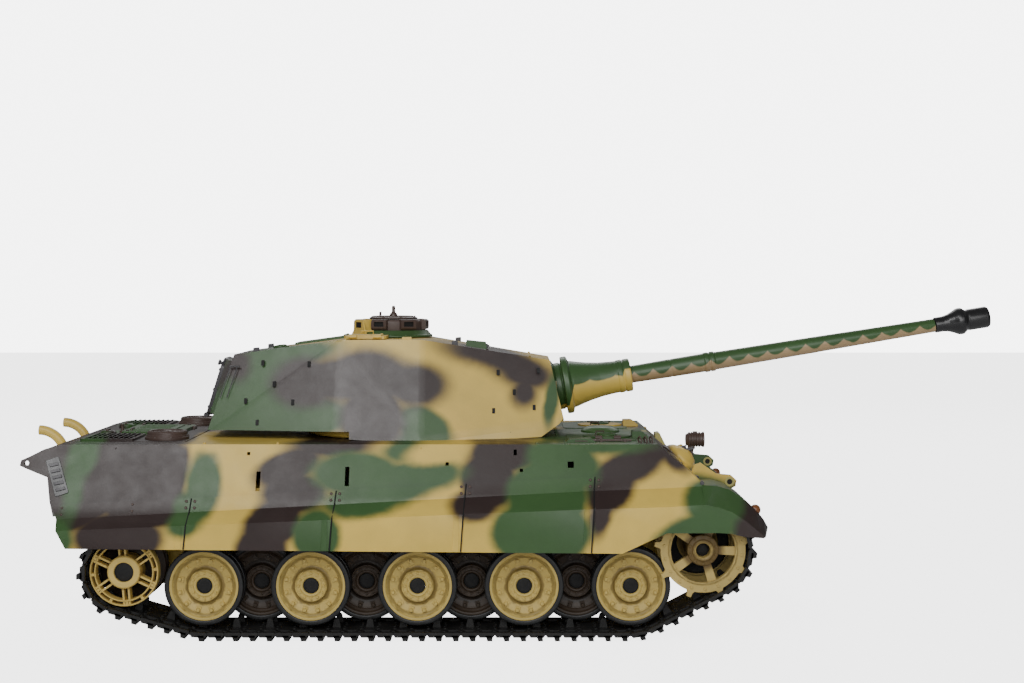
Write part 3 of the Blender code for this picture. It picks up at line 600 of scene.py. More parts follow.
PAINTS = {
    "hull": camouflage("camo_hull", HULL_STROKES),
    "turret": camouflage("camo_turret", TURRET_STROKES, near_y=-50.0, specular=0.62),
    "sand": plastic("sand_plastic", SAND),
    "green": plastic("green_plastic", GREEN),
    "olive": plastic("olive_sand_plastic", (0.44, 0.40, 0.13)),
    "brown": plastic("brown_plastic", (0.085, 0.055, 0.045)),
    "grey": plastic("dark_grey_plastic", (0.055, 0.052, 0.058), 0.38),
    "black": plastic("black_plastic", (0.012, 0.012, 0.013), 0.3, coat=0.3),
    # Near-black matte fill for holes, bores, slots, wells, windows, seams and the sprocket's backing: painted shade.
    "dark": plastic("painted_recess_shade", (0.006, 0.006, 0.006), 0.7, coat=0.0),
    "orange": plastic("orange_brown_plastic", (0.20, 0.07, 0.02), 0.32, coat=0.3),
    # The darker bands of the wheel, inner wheel, sprocket and idler paints are painted shade in the recesses by hubs
    # and rims.
    "wheel": wheel_paint("wheel_paint", (0.56, 0.42, 0.125), (0.13, 0.085, 0.025),
                         ((17.0, 19.4, 0.55), (9.4, 12.6, 0.75))),
    "inner_wheel": wheel_paint("inner_wheel_paint", (0.050, 0.034, 0.022), (0.012, 0.009, 0.007),
                               ((10.0, 14.0, 0.7),)),
    "sprocket": wheel_paint("sprocket_paint", (0.56, 0.42, 0.14), (0.10, 0.06, 0.02),
                            ((4.0, 13.5, 0.9), (20.0, 21.5, 0.4))),
    "idler": wheel_paint("idler_paint", (0.66, 0.48, 0.14), (0.16, 0.09, 0.03), ((10.2, 11.4, 0.5),)),
    "tyre": rubber("tyre_rubber", (0.012, 0.0125, 0.013), 0.42),
    "track": rubber("track_plastic", (0.010, 0.0095, 0.009), 0.5),
    "steel": steel("blackened_steel", (0.030, 0.030, 0.031)),
    "lens": glass("lamp_lens"),
    "barrel": gun_paint("barrel_paint", False),
    "mantlet": gun_paint("mantlet_paint", True),
    "board": plastic("board_green", (0.02, 0.13, 0.05), 0.35),
    "battery": plastic("battery_wrap_blue", (0.02, 0.05, 0.20), 0.3, coat=0.3),
}


# Hull


def side_y(z):
    return ROOF_HALF_WIDTH + (ROOF_Z - z) * SIDE_LEAN


def glacis_z(x):
    return ROOF_Z - GLACIS_SLOPE * (x - GLACIS_TOP_X)


def on_side(x, z, side, proud=0.0):
    """(point, normal) on the hull's leaning side plate."""
    normal = Vector((0.0, side * SIDE_NORMAL.y, SIDE_NORMAL.z))
    return Vector((x, side * side_y(z), z)) + proud * normal, normal


def on_glacis(x, y, proud=0.0):
    return Vector((x, y, glacis_z(x))) + proud * GLACIS_NORMAL


# (x, z, width, height) of the openings in each side plate
SIDE_OPENINGS = (
    (-167.2, 113.5, 1.9, 1.9),
    (-160.3, 97.2, 2.6, 11.4),
    (-105.5, 100.0, 2.6, 11.4),
    (-43.8, 107.4, 2.0, 2.0),
    (-1.6, 114.2, 2.0, 3.4),
    (2.2, 103.6, 2.0, 2.0),
    (32.8, 106.9, 3.8, 3.8),
)


def upper_hull():
    cutters = []
    for side, _ in SIDES:
        for x, z, width, height in SIDE_OPENINGS:
            low = (x - width / 2, side * (side_y(z) - 6.0), z - height / 2)
            high = (x + width / 2, side * (side_y(z) + 6.0), z + height / 2)
            cutters.append(box(low, high))
    shell = carved(cad_shape("upper_hull"), cutters)
    add("hull_shell", shell, PAINTS["hull"], "hull", ["upper_hull"], bevel=0.45)


def rear_corner_panels():
    """The slanted toothed panel and tow-eye bushes behind each side plate."""
    for side, word in SIDES:
        middle, normal = on_side(-284.5, 99.8, side, 0.1)
        along = Vector((-0.33, 0.0, 1.0))
        along = (along - normal * along.dot(normal)).normalized()
        matrix = axes(normal.cross(along), along, normal, middle)
        plate = rounded(((-4.2, -12.5), (4.2, -12.5), (4.2, 12.5), (-4.2, 12.5)), 1.0)
        panel = moved(prism(plate, -0.6, 0.5, "Z"), matrix)
        lugs = []
        for k in range(5):
            low = -10.0 + 4.2 * k
            lug = ((-2.9, low), (2.9, low + 0.6), (2.9, low + 2.6), (-2.9, low + 2.0))
            lugs.append(moved(prism(lug, 0.3, 1.1, "Z"), matrix))
        add(f"rear_corner_panel_{word}", panel, PAINTS["black"], "hull", bevel=0.15)
        add(f"rear_corner_lugs_{word}", merged(lugs), PAINTS["grey"], "hull", bevel=0.2)


def hull_bolts():
    """Rivets of the skirt strips and bolts of the roof and glacis."""
    shapes = []
    for side, _ in SIDES:
        for x, z in ((42.0, 116.6), (-60.0, 116.6), (-250.0, 116.6)):
            shapes.append(rivet(*on_side(x, z, side), 0.6))
        for x in (92.0, 104.0):
            shapes.append(bolt(on_glacis(x, side * 70.0), GLACIS_NORMAL, 1.1))
        for x in (-196.0, -150.0, 12.0, 30.0):
            shapes.append(bolt((x, side * 84.5, ROOF_Z), UP, 1.0, 0.8))
    for y in (-24.0, -8.0, 8.0, 24.0):
        shapes.append(bolt((26.0, y, ROOF_Z), UP, 1.1, 0.8))
    add("hull_bolts", merged(shapes), PAINTS["hull"], "hull")


def front_roof():
    """Driver's and radio operator's hatches, their periscopes and the ventilator."""
    green, brown, sand = [], [], []
    for side in (RIGHT, LEFT):
        centre = (58.0, side * 44.0)
        plate = [(centre[0] + 15.5 * x, centre[1] + 13.0 * y) for x, y in around(40, 1.0)]
        (green if side == RIGHT else sand).append(prism(plate, ROOF_Z - 0.4, ROOF_Z + 1.5, "Z"))
        green.append(turned([(3.0, 0.0), (6.4, 0.0), (6.4, 2.4), (5.6, 3.0), (3.0, 3.0)], (*centre, ROOF_Z), UP, 28))
        brown.append(turned([(0.1, 0.0), (2.8, 0.0), (2.8, 2.0), (0.1, 2.4)], (*centre, ROOF_Z), UP, 20,
                            closed=False))
        hinge_y = side * 58.0
        for x in (52.0, 64.0):
            brown.append(rod(1.5, (x - 2.2, hinge_y, ROOF_Z + 1.2), (x + 2.2, hinge_y, ROOF_Z + 1.2), 12))
            green.append(box((x - 1.6, side * 54.0, ROOF_Z + 1.2), (x + 1.6, hinge_y, ROOF_Z + 2.2)))
        handle = [(51.0, side * 36.0, ROOF_Z + 1.2), (51.5, side * 36.0, ROOF_Z + 3.4),
                  (56.5, side * 34.6, ROOF_Z + 3.4),
                  (57.0, side * 34.6, ROOF_Z + 1.2)]
        brown.append(tube(handle, 0.5, 8))
        guard = rounded(((74.0, ROOF_Z), (74.0, ROOF_Z + 4.6), (80.0, ROOF_Z + 4.6), (84.4, ROOF_Z + 1.4),
                         (84.4, ROOF_Z)), 0.6)
        (green if side == RIGHT else sand).append(prism(guard, side * 38.0, side * 50.0))
        brown.append(box((80.6, side * 40.0, ROOF_Z + 0.4), (83.9, side * 48.0, ROOF_Z + 2.4)))
    for x in (76.5, 80.0, 83.5):
        brown.append(tube([(x, -78.5, ROOF_Z - 0.2), (x - 0.9, -78.5, ROOF_Z + 2.6), (x, -80.5, ROOF_Z + 4.2),
                           (x + 0.9, -82.5, ROOF_Z + 2.2), (x + 0.9, -82.5, ROOF_Z - 0.2)], 0.6, 8))
    for y in (-73.0, -69.5):
        brown.append(rod(0.55, (34.0, y, ROOF_Z + 0.9), (72.0, y, ROOF_Z + 0.9), 8))
        for x in (38.0, 53.0, 68.0):
            brown.append(box((x - 0.9, y - 1.0, ROOF_Z - 0.2), (x + 0.9, y + 1.0, ROOF_Z + 1.7)))
    bump = rounded(((30.0, ROOF_Z - 0.3), (32.0, ROOF_Z + 2.0), (46.0, ROOF_Z + 2.6), (50.0, ROOF_Z - 0.3)), 0.8)
    green.append(prism(bump, -78.0, -66.0))
    brown.append(box((36.0, -78.2, ROOF_Z + 0.7), (44.0, -65.8, ROOF_Z + 1.4)))
    green.append(knob([(0.3, 0.0), (13.0, 0.0), (13.0, 1.2), (9.5, 3.6), (0.3, 4.4)], 0.8, (56.0, 0.0, ROOF_Z - 0.2),
                      UP, 40))
    for x, y in around(6, 11.4):
        green.append(bolt((56.0 + x, y, ROOF_Z + 1.2), UP, 1.0, 0.7))
    for side in (RIGHT, LEFT):
        outline = rounded([(x, side * y) for x, y in ((32.0, 22.0), (76.0, 22.0), (76.0, 66.0), (32.0, 66.0))], 5.0)
        green.append(prism(outline, ROOF_Z - 0.5, ROOF_Z + 0.5, "Z"))
    add("front_hatches", merged(green), PAINTS["green"], "hull", bevel=0.2)
    add("front_roof_fittings", merged(brown), PAINTS["brown"], "hull", bevel=0.12)
    add("periscope_hoods", merged(sand), PAINTS["sand"], "hull", bevel=0.25)


def glacis_fittings():
    """Bow machine gun, tow lugs' bushes, fender hinges, markers and the lamp's base plate."""
    ball, steelwork, sand, orange, green, holes = [], [], [], [], [], []
    centre = on_glacis(103.8, -36.0)
    ring = [(11.8, -0.6), (11.8, 0.9), (10.6, 1.6), (9.2, 1.6), (9.2, -0.6)]
    ball.append(turned(rounded(ring, 0.4), centre, GLACIS_NORMAL, 40))
    dome = [(0.2, -0.4)] + [(10.0 * x, 7.4 * y) for x, y in arc((0.0, 0.0), 1.0, 0.0, 81.0, 9)] + [(0.2, 7.45)]
    ball.append(turned(dome, centre, GLACIS_NORMAL, 40, closed=False))
    nozzle = centre + 5.2 * GLACIS_NORMAL
    aim = (FORWARD + UP * 0.25).normalized()
    steelwork.append(turned([(3.6, -2.0), (3.6, 3.2), (3.0, 3.8), (1.4, 3.8), (1.4, -2.0)], nozzle, aim, 24))
    steelwork.append(turned([(0.6, 0.0), (1.25, 0.0), (1.25, 8.0), (0.9, 8.4), (0.6, 8.4)], nozzle, aim, 16))
    matrix = frame_on(centre, GLACIS_NORMAL)
    for x, y in around(8, 10.6):
        ball.append(bolt(matrix @ Vector((x, y, 1.2)), GLACIS_NORMAL, 0.7, 0.7))
    for side, _ in SIDES:
        hinge_x = 113.4
        for y in (68.0, 96.0):
            steelwork.append(rod(1.3, (hinge_x, side * y, 96.4), (hinge_x, side * (y + 6.0), 96.4), 12))
        marker = Vector((146.4, side * 100.0, 79.6))
        orange.append(turned([(0.2, -3.3), *arc((0.0, 0.0), 3.4, -75.0, 75.0, 10), (0.2, 3.35)], marker,
                             (0.85, 0.0, 0.53), 24, closed=False))
        sand.append(turned([(0.3, -3.0), (3.9, -3.0), (3.9, -0.6), (3.2, 0.0), (0.3, 0.0)],
                           marker - Vector((1.4, 0.0, 0.9)), (0.85, 0.0, 0.53), 24, closed=False))
        for x in (124.0, 133.5):
            sand.append(bolt(Vector((x, side * 62.2, glacis_z(x) + 5.0)), (0, side, 0), 1.0, 0.8))
        bar = ((112.0, -0.5), (114.0, 3.0), (122.0, 4.6), (131.0, 4.6), (131.0, -0.5))
        outline = rounded([(x, glacis_z(x) + rise) for x, rise in bar], 0.6)
        (sand if side == RIGHT else green).append(prism(outline, side * 58.4, side * 61.6))
        bush = Vector((135.5, side * 60.3, 92.4))
        # A near-black core in each bush: painted shade of the tow hole.
        holes.append(turned([(0.1, -2.0), (2.0, -2.0), (2.0, 2.0), (0.1, 2.0)], bush, ACROSS, 20, closed=False))
        sand.append(turned(rounded([(1.7, -2.4), (3.1, -2.4), (3.1, 2.4), (1.7, 2.4)], 0.3), bush, ACROSS, 24))
    sand.append(knob([(0.3, -0.5), (5.0, -0.5), (5.0, 1.2), (3.8, 1.9), (0.3, 1.9)], 0.4, on_glacis(117.6, 0.0),
                     GLACIS_NORMAL, 24))
    visor = rounded(((96.0, glacis_z(96.0) - 0.4), (96.0, glacis_z(96.0) + 3.0), (99.0, glacis_z(96.0) + 3.4),
                     (103.4, glacis_z(103.4) + 1.0), (103.4, glacis_z(103.4) - 0.4)), 0.5)
    sand.append(prism(visor, 32.0, 46.0))
    block = rounded([(x, glacis_z(x) + rise) for x,
                     rise in ((118.0, -0.5), (118.6, 3.8), (135.4, 3.8), (136.0, -0.5))], 0.6)
    green.append(prism(block, 18.0, 23.0))
    add("glacis_green_fittings", merged(green), PAINTS["green"], "hull", bevel=0.2)
    add("tow_holes", merged(holes), PAINTS["dark"], "hull")
    add("bow_gun_mount", merged(ball), PAINTS["hull"], "hull")
    add("bow_gun_and_hinges", merged(steelwork), PAINTS["grey"], "hull", bevel=0.1)
    add("glacis_fittings", merged(sand), PAINTS["olive"], "hull", bevel=0.15)
    add("fender_markers", merged(orange), PAINTS["orange"], "hull")


def side_skirts():
    """The skirts with their panel seams, cover strips and rivets."""
    seams = (-203.2, -114.6, -34.8, 44.6)
    lean = 3.5
    for side, word in SIDES:
        cutters, strips, rivets = [], [], []
        for x in seams:
            outline = ((x - 0.4, 50.0), (x + 0.4, 50.0), (x + 0.4 + lean, 100.0), (x - 0.4 + lean, 100.0))
            cutters.append(prism(outline, side * (SKIRT_Y - 0.75), side * (SKIRT_Y + 5.0)))
        skirt = carved(cad_shape(f"side_skirt_{word}"), cutters)
        add(f"skirt_{word}", skirt, PAINTS["hull"], "hull", [f"side_skirt_{word}"], bevel=0.3)
        # Near-black lines laid in the seam grooves: painted shade of the grooves.
        lines = []
        for x in seams:
            lines.append(tube([(x, side * SKIRT_Y, foot_z(x) + 0.3), (x + 1.6, side * SKIRT_Y, crease_z(x)),
                               on_side(x + 2.3, fold_z(x), side, 1.7)[0],
                               on_side(x + 3.0, fold_z(x) + 7.4, side, 1.8)[0]], 0.42, 8))
        add(f"skirt_seams_{word}", merged(lines), PAINTS["dark"], "hull")
        for x in seams:
            top = crease_z(x)
            low = foot_z(x)
            strip = ((x - 5.0, low + 0.3), (x - 1.4, low + 0.3), (x - 0.9, top - 0.2), (x - 4.4, top - 0.2))
            strips.append(prism(strip, side * (SKIRT_Y - 0.3), side * (SKIRT_Y + 0.35)))
            fold = x + 2.6
            for dx in (-2.6, 2.6):
                for dz in (1.8, 5.6):
                    z = fold_z(fold) + dz
                    point, normal = on_side(fold + dx, z, side, 1.85)
                    rivets.append(rivet(point, normal, 0.95))
        for x in (-279.0, -236.0):
            for dz in (1.8, 5.6):
                point, normal = on_side(x, fold_z(x) + dz, side, 1.85)
                rivets.append(rivet(point, normal, 0.75))
        add(f"skirt_strips_{word}", merged(strips), PAINTS["hull"], "hull", bevel=0.12)
        add(f"skirt_rivets_{word}", merged(rivets), PAINTS["brown"], "hull")


def fold_z(x):
    """Height of the skirt's upper fold, where its strip meets the leaning facet."""
    return 75.3 + (x + 281.9) * (91.4 - 75.3) / (39.0 + 281.9)


def crease_z(x):
    """Height of the skirt's outer crease."""
    return 69.2 + (x + 280.6) * (82.2 - 69.2) / (39.0 + 280.6)


def foot_z(x):
    """Height of the skirt's lower edge."""
    return 58.2 + (x + 274.9) * (55.5 - 58.2) / (39.0 + 274.9)


def engine_deck():
    """Deck plate with hinged middle hatch, two round intakes and two slatted grilles."""
    low, high = cad_box("engine_deck")
    floor = ROOF_Z + 0.3
    plate = [box((low.x, low.y, low.z), (high.x, high.y, floor))]
    brown, dark, sand = [], [], []
    hatch = rounded(((-262.0, -26.0), (-222.0, -26.0), (-222.0, 26.0), (-262.0, 26.0)), 3.0)
    inner = rounded(((-258.0, -20.0), (-228.0, -20.0), (-228.0, 20.0), (-258.0, 20.0)), 2.0)
    raised = [prism(hatch, floor - 0.4, floor + 2.2, "Z"), prism(inner, floor + 2.0, floor + 2.9, "Z")]
    for y in (-12.0, -4.0, 4.0, 12.0):
        raised.append(box((-254.0, y - 1.0, floor + 2.7), (-232.0, y + 1.0, floor + 3.4)))
    for y in (-17.0, 17.0):
        sand.append(rod(1.3, (-221.5, y - 4.0, floor + 0.9), (-221.5, y + 4.0, floor + 0.9), 14))
        sand.append(tube([(-256.0, y - 4.0, floor + 1.0), (-256.0, y - 4.0, floor + 3.4),
                          (-256.0, y + 4.0, floor + 3.4),
                          (-256.0, y + 4.0, floor + 1.0)], 0.55, 8))
    for x in (-258.5, -226.0):
        for y in (-22.0, 22.0):
            plate.append(bolt((x, y, floor + 2.1), UP, 1.1, 0.8))
    for side, _ in SIDES:
        centre = Vector((-225.5, side * 54.0, floor))
        stack = rounded([(8.8, -0.4), (14.0, -0.4), (14.0, 1.5), (13.2, 1.9), (13.2, 2.6), (12.6, 3.0), (12.6, 4.4),
                         (11.6, 5.4), (10.2, 5.4), (10.2, 3.8), (8.8, 3.8)], 0.25)
        brown.append(turned(stack, centre, UP, 48))
        # A near-black disc at the foot of the intake: painted shade under the grille.
        dark.append(turned([(0.2, 0.3), (9.4, 0.3), (9.4, 1.2), (0.2, 1.4)], centre, UP, 32, closed=False))
        brown.append(knob([(0.2, 3.6), (3.2, 3.6), (3.2, 4.8), (2.2, 5.4), (0.2, 5.5)], 0.3, centre, UP, 24))
        for near, far in zip(around(12, 2.6), around(12, 10.6)):
            brown.append(rod(0.42, centre + Vector((*near, 4.4)), centre + Vector((*far, 4.4)), 6))
        for r in (5.4, 8.0):
            brown.append(turned([(r - 0.35, 4.1), (r + 0.35, 4.1), (r + 0.35, 4.8), (r - 0.35, 4.8)], centre, UP, 36))
        for x, y in around(8, 13.5, 22.5):
            brown.append(bolt(centre + Vector((x, y, 1.5)), UP, 0.7, 0.6))
        y0, y1 = sorted((side * 34.0, side * 71.0))
        outer = ((-277.5, y0), (-243.5, y0), (-243.5, y1), (-277.5, y1))
        inner = ((-275.4, y0 + 2.1), (-245.6, y0 + 2.1), (-245.6, y1 - 2.1), (-275.4, y1 - 2.1))
        rim = carved(prism(rounded(outer, 1.5), floor - 0.3, floor + 1.5, "Z"),
                     [prism(inner, floor - 1.0, floor + 3.0, "Z")])
        plate.append(rim)
        # A near-black sheet under the slats: painted shade inside the grille.
        dark.append(box((-275.6, y0 + 1.9, floor - 0.1), (-245.4, y1 - 1.9, floor + 0.25)))
        slats = 9
        for k in range(slats):
            x = -273.6 + 26.4 * k / (slats - 1)
            slat = ((x - 0.9, floor + 0.2), (x - 0.3, floor + 0.2), (x + 0.9, floor + 2.2), (x + 0.3, floor + 2.3))
            plate.append(prism(slat, y0 + 1.8, y1 - 1.8))
        for k in (1, 2):
            y = y0 + (y1 - y0) * k / 3
            plate.append(box((-276.0, y - 0.6, floor + 0.2), (-245.0, y + 0.6, floor + 1.6)))
        cap = Vector((-270.0, side * 26.5, floor))
        plate.append(knob([(0.2, -0.2), (5.2, -0.2), (5.2, 1.8), (4.2, 2.8), (0.2, 3.0)], 0.4, cap, UP, 28))
        sand.append(box(cap + Vector((-0.7, -3.6, 2.4)), cap + Vector((0.7, 3.6, 3.8))))
    post = Vector((-265.0, -8.0, floor))
    sand.append(knob([(0.2, -0.2), (2.2, -0.2), (2.2, 0.8), (1.0, 1.4), (1.0, 4.6), (1.5, 5.4), (0.2, 5.6)], 0.2,
                     post, UP, 16))
    add("deck_plate", merged(plate), PAINTS["hull"], "hull", ["engine_deck"], bevel=0.22)
    add("deck_intakes", merged(brown), PAINTS["brown"], "hull")
    add("deck_wells", merged(dark), PAINTS["dark"], "hull")
    add("deck_fittings", merged(sand), PAINTS["brown"], "hull", bevel=0.12)
    add("deck_middle_hatch", merged(raised), PAINTS["green"], "hull", bevel=0.25)


def rear_x(z):
    return -283.0 + (ROOF_Z - 2.0 - z) * 0.396


def rear_plate():
    """Leaning rear plate with exhaust pipes, bolted guards, inspection covers and tow shackles."""
    top, bottom, shoulder = ROOF_Z - 2.8, 64.5, 93.6
    thickness = 2.6
    normal = Vector((-1.0, 0.0, -0.396)).normalized()

    def row(z, half):
        return [(rear_x(z), -half, z), (rear_x(z), half, z), (rear_x(z) + thickness, half, z),
                (rear_x(z) + thickness, -half, z)]

    def half_at(z):
        return side_y(z) - 3.1

    upper = skin([row(shoulder, half_at(shoulder)), row(top, half_at(top))])
    lower = skin([row(bottom, 61.5), row(shoulder + 0.01, 61.5)])
    body = [upper, lower]
    brown = []

    def spot(y, z, proud=0.0):
        return Vector((rear_x(z), y, z)) + proud * normal

    for y in (-50.0, 0.0, 50.0):
        body.append(knob([(0.2, -0.6), (8.6, -0.6), (8.6, 0.9), (7.6, 1.5), (0.2, 1.5)], 0.3, spot(y, 77.0), normal,
                         32))
        matrix = frame_on(spot(y, 77.0, 1.2), normal)
        for across, along in around(6, 6.4):
            brown.append(bolt(matrix @ Vector((across, along, 0.0)), normal, 0.8, 0.7))
    for side, _ in SIDES:
        for y, z in ((84.0, 108.0), (84.0, 98.0), (48.0, 110.0), (14.0, 110.0)):
            brown.append(bolt(spot(side * y, z), normal, 1.2, 1.0))
        shackle = [spot(side * 72.0, 100.0, 0.4), spot(side * 72.0, 100.0, 5.0), spot(side * 75.5, 97.0, 6.4),
                   spot(side * 79.0, 100.0, 5.0), spot(side * 79.0, 100.0, 0.4)]
        brown.append(tube(shackle, 1.2, 10))
    add("rear_armour", merged(body), PAINTS["hull"], "hull", ["rear_plate"], bevel=0.3)
    pipes, guards = [], []
    tip_x = cad_box("rear_plate")[0].x + 4.4
    bend, bend_z = 16.3, 106.4
    for side, _ in SIDES:
        y = side * 30.0
        route = [Vector((tip_x + bend + 2.6, y, 84.0)), Vector((tip_x + bend + 1.4, y, 96.0))]
        route += [Vector((x, y, z)) for x, z in arc((tip_x, bend_z), bend, 0.0, 90.0, 14)]
        pipes.append(tube(route, 3.2, 28, bore=2.4))
        pipes.append(turned(rounded([(3.0, -1.0), (4.6, -1.0), (4.6, 1.4), (3.0, 1.4)], 0.4),
                            (tip_x + bend + 0.9, y, 99.0), UP, 28))
        outline = rounded(((-264.0, 72.0), (-284.0, 74.0), (-300.0, 84.0), (-302.4, 96.0), (-297.0, 97.5),
                           (-276.0, 97.5)), 4.0)
        guards.append(prism(outline, y - 9.0, y + 9.0))
        for dy in (-6.6, 6.6):
            for x, z in ((-300.6, 92.0), (-298.0, 84.6)):
                guards.append(bolt((x, y + dy, z), (-1.0, 0.0, -0.2), 1.0, 0.9))
        guards.append(turned(rounded([(4.2, 0.0), (6.6, 0.0), (6.6, 1.6), (4.2, 1.6)], 0.4),
                             (tip_x + bend + 1.4, y, 96.9), UP, 28))
    add("exhaust_pipes", merged(pipes), PAINTS["sand"], "hull")
    add("exhaust_guards", merged(guards), PAINTS["green"], "hull", bevel=0.4)
    add("rear_fittings", merged(brown), PAINTS["grey"], "hull", bevel=0.1)


def lower_hull():
    """The tub, with its belly covers and the bump stops over the arms."""
    add("tub", cad_shape("lower_hull"), PAINTS["hull"], "hull", ["lower_hull"], bevel=0.35)
    covers = []
    belly = cad_box("lower_hull")[0].z
    for x, radius in ((-200.0, 12.0), (-130.0, 15.0), (-20.0, 15.0), (60.0, 11.0)):
        covers.append(knob([(0.3, -0.4), (radius, -0.4), (radius, 0.8), (radius - 1.2, 1.3), (0.3, 1.3)], 0.3,
                           (x, 0.0, belly), -UP, 40))
        for dx, y in around(8, radius - 2.6):
            covers.append(bolt((x + dx, y, belly - 1.2), -UP, 0.9, 0.7))
    for side, _ in SIDES:
        for x in range(-230, 90, 40):
            covers.append(bolt((x, side * 54.0, belly), -UP, 1.2, 0.9))
    add("belly_covers", merged(covers), PAINTS["brown"], "hull")


def headlight():
    """A ribbed lamp drum with its lens, cable and stem."""
    centre = Vector((119.7, 0.0, 113.6))
    ribs = [(0.2, -6.0), (3.4, -6.0), (4.3, -4.6)]
    for k in range(5):
        a = -4.2 + 1.7 * k
        ribs += [(4.5, a), (5.15, a + 0.35), (5.15, a + 0.95), (4.5, a + 1.3)]
    ribs += [(4.6, 4.9), (5.2, 5.2), (5.2, 6.4), (4.4, 6.6), (4.0, 6.0), (0.2, 6.0)]
    body = [turned(ribs, centre, FORWARD, 40, closed=False)]
    stem_x = 117.6
    foot_z = cad_box("headlight")[0].z
    body.append(rod(1.5, (stem_x, 0.0, foot_z + 0.2), (stem_x, 0.0, 110.0), 16))
    body.append(knob([(0.2, 0.0), (3.2, 0.0), (3.2, 0.9), (2.0, 1.5), (0.2, 1.5)], 0.2, (stem_x, 0.0, foot_z), UP,
                     24))
    body.append(box((stem_x - 2.4, -2.2, 107.4), (stem_x + 2.4, 2.2, 109.6)))
    body.append(tube([(115.0, 0.0, 111.0), (113.4, 0.0, 108.6), (114.2, 0.0, 105.0), (116.4, 0.0, foot_z + 1.6)],
                     0.55, 8))
    body.append(box((stem_x + 1.0, -0.5, 117.6), (stem_x + 4.0, 0.5, 119.2)))
    add("lamp", merged(body), PAINTS["brown"], "hull", ["headlight"])
    lens = [(0.1, 5.6), (4.2, 5.6), (4.2, 6.1), (3.0, 6.6), (1.5, 6.75), (0.1, 6.8)]
    add("lamp_lens", turned(lens, centre, FORWARD, 32, closed=False), PAINTS["lens"], "hull")


# Running gear


def belt_route():
    """Lines and arcs of the belt's inner face: lists of (length, function of distance to (point, normal))."""
    last, first = WHEELS[-1], WHEELS[0]
    ground = TRACK_THICKNESS
    circles = (
        (SPROCKET.x, SPROCKET.z, 26.45),
        (last.x, last.z, last.z - ground),
        (first.x, first.z, first.z - ground),
        (IDLER.x, IDLER.z, 21.65),
    )

    def leaving(one, two):
        dx, dz = two[0] - one[0], two[1] - one[1]
        return math.atan2(dz, dx) + math.acos((one[2] - two[2]) / math.hypot(dx, dz))

    route = []
    count = len(circles)
    for i, (x, z, radius) in enumerate(circles):
        start = leaving(circles[i - 1], circles[i])
        end = leaving(circles[i], circles[(i + 1) % count])
        while end > start:
            end -= 2 * math.pi
        centre = Vector((x, 0.0, z))

        def round_circle(distance, centre=centre, radius=radius, start=start):
            angle = start - distance / radius
            normal = Vector((math.cos(angle), 0.0, math.sin(angle)))
            return centre + radius * normal, normal

        route.append(((start - end) * radius, round_circle))
        normal = Vector((math.cos(end), 0.0, math.sin(end)))
        leave = centre + radius * normal
        nx, nz, next_radius = circles[(i + 1) % count]
        arrive = Vector((nx, 0.0, nz)) + next_radius * normal

        def along_line(distance, leave=leave, arrive=arrive, normal=normal):
            return leave + (arrive - leave).normalized() * distance, normal

        route.append(((arrive - leave).length, along_line))
    return route


def belt_at(route, distance):
    for length, follow in route:
        if distance <= length:
            return follow(distance)
        distance -= length
    length, follow = route[-1]
    return follow(length)


def track_link(pitch, side, horned):
    """One link about its own centre: X along the belt, Y across and Z outwards from its inner face."""
    half = pitch / 2
    low, high = TRACK_Y
    shapes = []

    def bar(x0, x1, y0, y1, z0, z1):
        shapes.append(box((x0, side * y0, z0), (x1, side * y1, z1)))

    for y0, y1 in ((low + 0.4, 69.2), (75.2, 101.4), (107.0, high - 0.4)):
        bar(-half + 0.9, half - 0.9, y0, y1, 0.9, 2.9)
    for y0, y1 in ((69.0, 75.4), (101.2, 107.2)):
        bar(-half + 0.9, -2.9, y0, y1, 1.1, 2.7)
        bar(2.9, half - 0.9, y0, y1, 1.1, 2.7)
    section = ((-3.4, 2.6), (-3.7, 6.1), (-0.6, 6.1), (-0.2, 4.6), (0.6, 2.6))
    shapes.append(prism(section, side * low, side * high))
    for y0, y1 in ((low, low + 2.2), (high - 2.2, high)):
        end = ((-half + 0.6, 0.8), (half - 0.6, 0.8), (half - 0.3, 2.4), (half - 1.4, 3.9), (-half + 1.4, 3.9),
               (-half + 0.3, 2.4))
        shapes.append(prism(end, side * y0, side * y1))
    for k, (y0, y1) in enumerate(((64.0, 68.4), (77.4, 81.4), (83.0, 87.0), (88.6, 92.6), (94.2, 98.2),
                                  (103.0, 106.4))):
        x = half if k % 2 else -half
        shapes.append(rod(1.45, (x, side * y0, 1.9), (x, side * y1, 1.9), 10))
    for y in (80.5, 88.0, 95.5):
        rib = ((-0.8, 2.7), (half - 1.2, 2.7), (half - 1.6, 4.2), (-0.8, 5.2))
        shapes.append(prism(rib, side * (y - 0.9), side * (y + 0.9)))
    if horned:
        for y in (75.6, 92.6):
            horn = ((-2.6, 1.2), (-1.6, -3.8), (-0.8, -4.6), (0.8, -4.6), (1.6, -3.8), (2.6, 1.2))
            shapes.append(prism(horn, side * (y - 0.95), side * (y + 0.95)))
    shapes.append(rod(0.75, (half, side * (low + 0.1), 1.9), (half, side * (high - 0.1), 1.9), 8))
    return merged(shapes)


LINKS = 84


def tracks():
    route = belt_route()
    total = sum(length for length, _ in route)
    pitch = total / LINKS
    for side, word in SIDES:
        links = []
        for k in range(LINKS):
            point, normal = belt_at(route, (k + 0.5) * pitch)
            along = ACROSS.cross(normal)
            matrix = axes(along, ACROSS, normal, point)
            links.append(moved(track_link(pitch * 1.04, side, k % 2 == 0), matrix))
        add(f"track_links_{word}", merged(links), PAINTS["track"], "hull", [f"track_{word}"])


